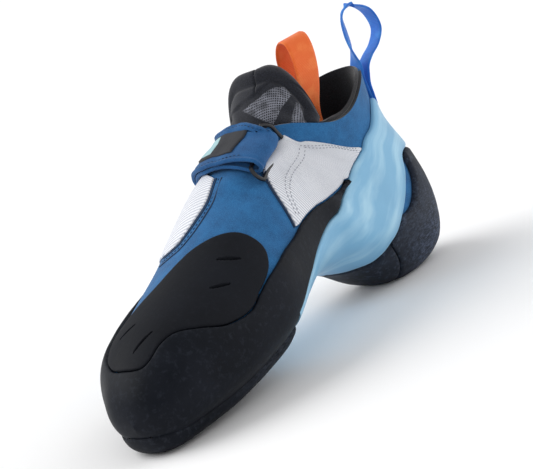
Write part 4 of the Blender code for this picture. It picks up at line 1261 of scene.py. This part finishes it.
def patch_on_strap(name, girths, width, base, thickness, finish, replaced=()):
    """A thin sewn patch on the strap's upper layer, with its edges rounded down."""
    start, end = girths
    length = (end - start) * INSTEP_GIRTH_LENGTH

    def face(lift):
        def point(s, t):
            rim = min(min(s, 1 - s) * length, min(t, 1 - t) * width)
            full = lift * rounded(rim, BADGE_RIM) if lift else 0.0
            girth = start + s * (end - start)
            return strap_point(girth, (t - 0.5) * width + STRAP_CENTRE,
                               strap_top(girth) + base + full)
        return point
    sheet = wrapped(strip(40, 40), face(thickness), face(0), (length * 100, width * 100))
    place(name, sheet, finish, replaced)


def strap_badge():
    patch_on_strap("strap_badge", BADGE_GIRTHS, BADGE_WIDTH, 0.0, BADGE_THICKNESS, badge_cloth,
                   ["strap_badge"])
    patch_on_strap("strap_label", LABEL_GIRTHS, LABEL_WIDTH, BADGE_THICKNESS - 0.0001,
                   LABEL_THICKNESS, label_cloth)


def pull_loop(name, finish, foot, facing, rows, spread, height, width):
    """Flat webbing bent into a loop. Facing is the way its width points; out is square to it."""
    across = Vector(facing).normalized()
    up = (Vector((0, 0, 1)) - across * across.z).normalized()
    out = across.cross(up) * (1 if across.cross(up).dot(Vector((0.5, 1, 0))) > 0 else -1)
    run = [(foot + out * o * spread + up * h * height, math.radians(turn))
           for o, h, turn in smooth_edge(rows, 10)]
    last = len(run) - 1

    def face(side):
        def point(s, t):
            k = round(s * last)
            here, turn = run[k]
            ahead, behind = run[min(k + 1, last)][0], run[max(k - 1, 0)][0]
            tangent = (ahead - behind).normalized()
            wide = (across - tangent * across.dot(tangent)).normalized()
            wide.rotate(Quaternion(tangent, turn * (1 if tangent.z > 0 else -1)))
            normal = tangent.cross(wide)
            rim = min(t, 1 - t) * width
            half = WEBBING_THICKNESS / 2 * rounded(rim, PANEL_RIM)
            return here + wide * (t - 0.5) * width + normal * side * half
        return point
    length = sum((b[0] - a[0]).length for a, b in zip(run, run[1:]))
    sheet = wrapped(strip(last, 16), face(1), face(-1), (length * 100, width * 100))
    place(name, sheet, finish, [name])


def tongue_loop():
    """The orange loop, sewn inside the collar behind the tongue."""
    foot = skin(*TONGUE_LOOP_FOOT, -TONGUE_LOOP_INSET) + Vector((0, 0, TONGUE_LOOP_LIFT))
    pull_loop("tongue_loop", orange_tape, foot, TONGUE_LOOP_FACING, TONGUE_LOOP,
              TONGUE_LOOP_SPREAD, TONGUE_LOOP_HEIGHT, TONGUE_LOOP_WIDTH)


def heel_loop():
    """The blue loop, with both its feet on the back of the heel."""
    foot = skin(*HEEL_LOOP_FOOT, GAP + WEBBING_THICKNESS / 2)
    pull_loop("heel_loop", blue_tape, foot, HEEL_LOOP_FACING, HEEL_LOOP,
              HEEL_LOOP_SPREAD, HEEL_LOOP_HEIGHT, HEEL_LOOP_WIDTH)


def studio():
    """A plain pale floor and soft light from the left and above."""
    floor_edit = bmesh.new()
    bmesh.ops.create_grid(floor_edit, x_segments=1, y_segments=1, size=60.0)
    mesh = bpy.data.meshes.new("floor")
    floor_edit.to_mesh(mesh)
    floor_edit.free()
    floor = bpy.data.objects.new("floor", mesh)
    made, tree = new_finish("pale_floor", Roughness=0.9)
    tint = mix(tree, noise(tree, object_place(tree), 0.8), (0.95, 0.95, 0.96), (0.97, 0.97, 0.97))
    mesh.materials.append(finished(made, tint))
    bpy.context.scene.collection.objects.link(floor)

    world = bpy.data.worlds.new("studio")
    world.use_nodes = True
    backdrop = world.node_tree.nodes["Background"]
    backdrop.inputs["Color"].default_value = (1.0, 1.0, 1.0, 1)
    backdrop.inputs["Strength"].default_value = 0.60
    bpy.context.scene.world = world

    for name, at, softness, power in (
            ("left_light", (-0.75, -0.45, 0.80), 60, 1.9),
            ("back_light", (0.70, 0.80, 0.50), 70, 0.9)):
        lamp = bpy.data.lights.new(name, "SUN")
        lamp.energy = power
        lamp.angle = math.radians(softness)
        stand = bpy.data.objects.new(name, lamp)
        stand.location = at
        stand.rotation_mode = "QUATERNION"
        stand.rotation_quaternion = (-Vector(at)).to_track_quat("-Z", "Y")
        bpy.context.scene.collection.objects.link(stand)


CAMERA_AZIMUTH = 41.5
CAMERA_ELEVATION = 11.0
CAMERA_ROLL = -18.5
CAMERA_DISTANCE = 0.700
CAMERA_TARGET = (0.0036, -0.0003, 0.0505)
CAMERA_LENS = 1615 / 533 * 36


def camera():
    """The photograph's camera. The shoe stands level here, so the camera is rolled instead."""
    a, e, r = (math.radians(x) for x in (CAMERA_AZIMUTH, CAMERA_ELEVATION, CAMERA_ROLL))
    back = Vector((math.sin(a) * math.cos(e), -math.cos(a) * math.cos(e), math.sin(e)))
    right = Vector((math.cos(a), math.sin(a), 0))
    up = back.cross(right)
    turned_right = math.cos(r) * right + math.sin(r) * up
    turned_up = math.cos(r) * up - math.sin(r) * right
    view = bpy.data.cameras.new("camera")
    view.lens = CAMERA_LENS
    view.sensor_width = 36
    stand = bpy.data.objects.new("camera", view)
    stand.rotation_mode = "QUATERNION"
    stand.rotation_quaternion = Matrix((turned_right, turned_up, back)).transposed().to_quaternion()
    stand.location = Vector(CAMERA_TARGET) + back * CAMERA_DISTANCE
    bpy.context.scene.collection.objects.link(stand)
    bpy.context.scene.camera = stand


def midsole_finish():
    """Gives the midsole, which keeps its solid, the finish of board."""
    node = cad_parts["midsole"]
    for n in range(len(node.data.materials)):
        node.data.materials[n] = board


upper_shell()
insole()
rand()
outsole()
toe_patch()
tension_band()
heel_pieces()
elastic_panel_inner()
elastic_panel_outer()
collar_cuff()
tongue()
strap()
strap_ring()
strap_badge()
tongue_loop()
heel_loop()
midsole_finish()
studio()
camera()
bpy.context.scene.view_settings.view_transform = "Standard"
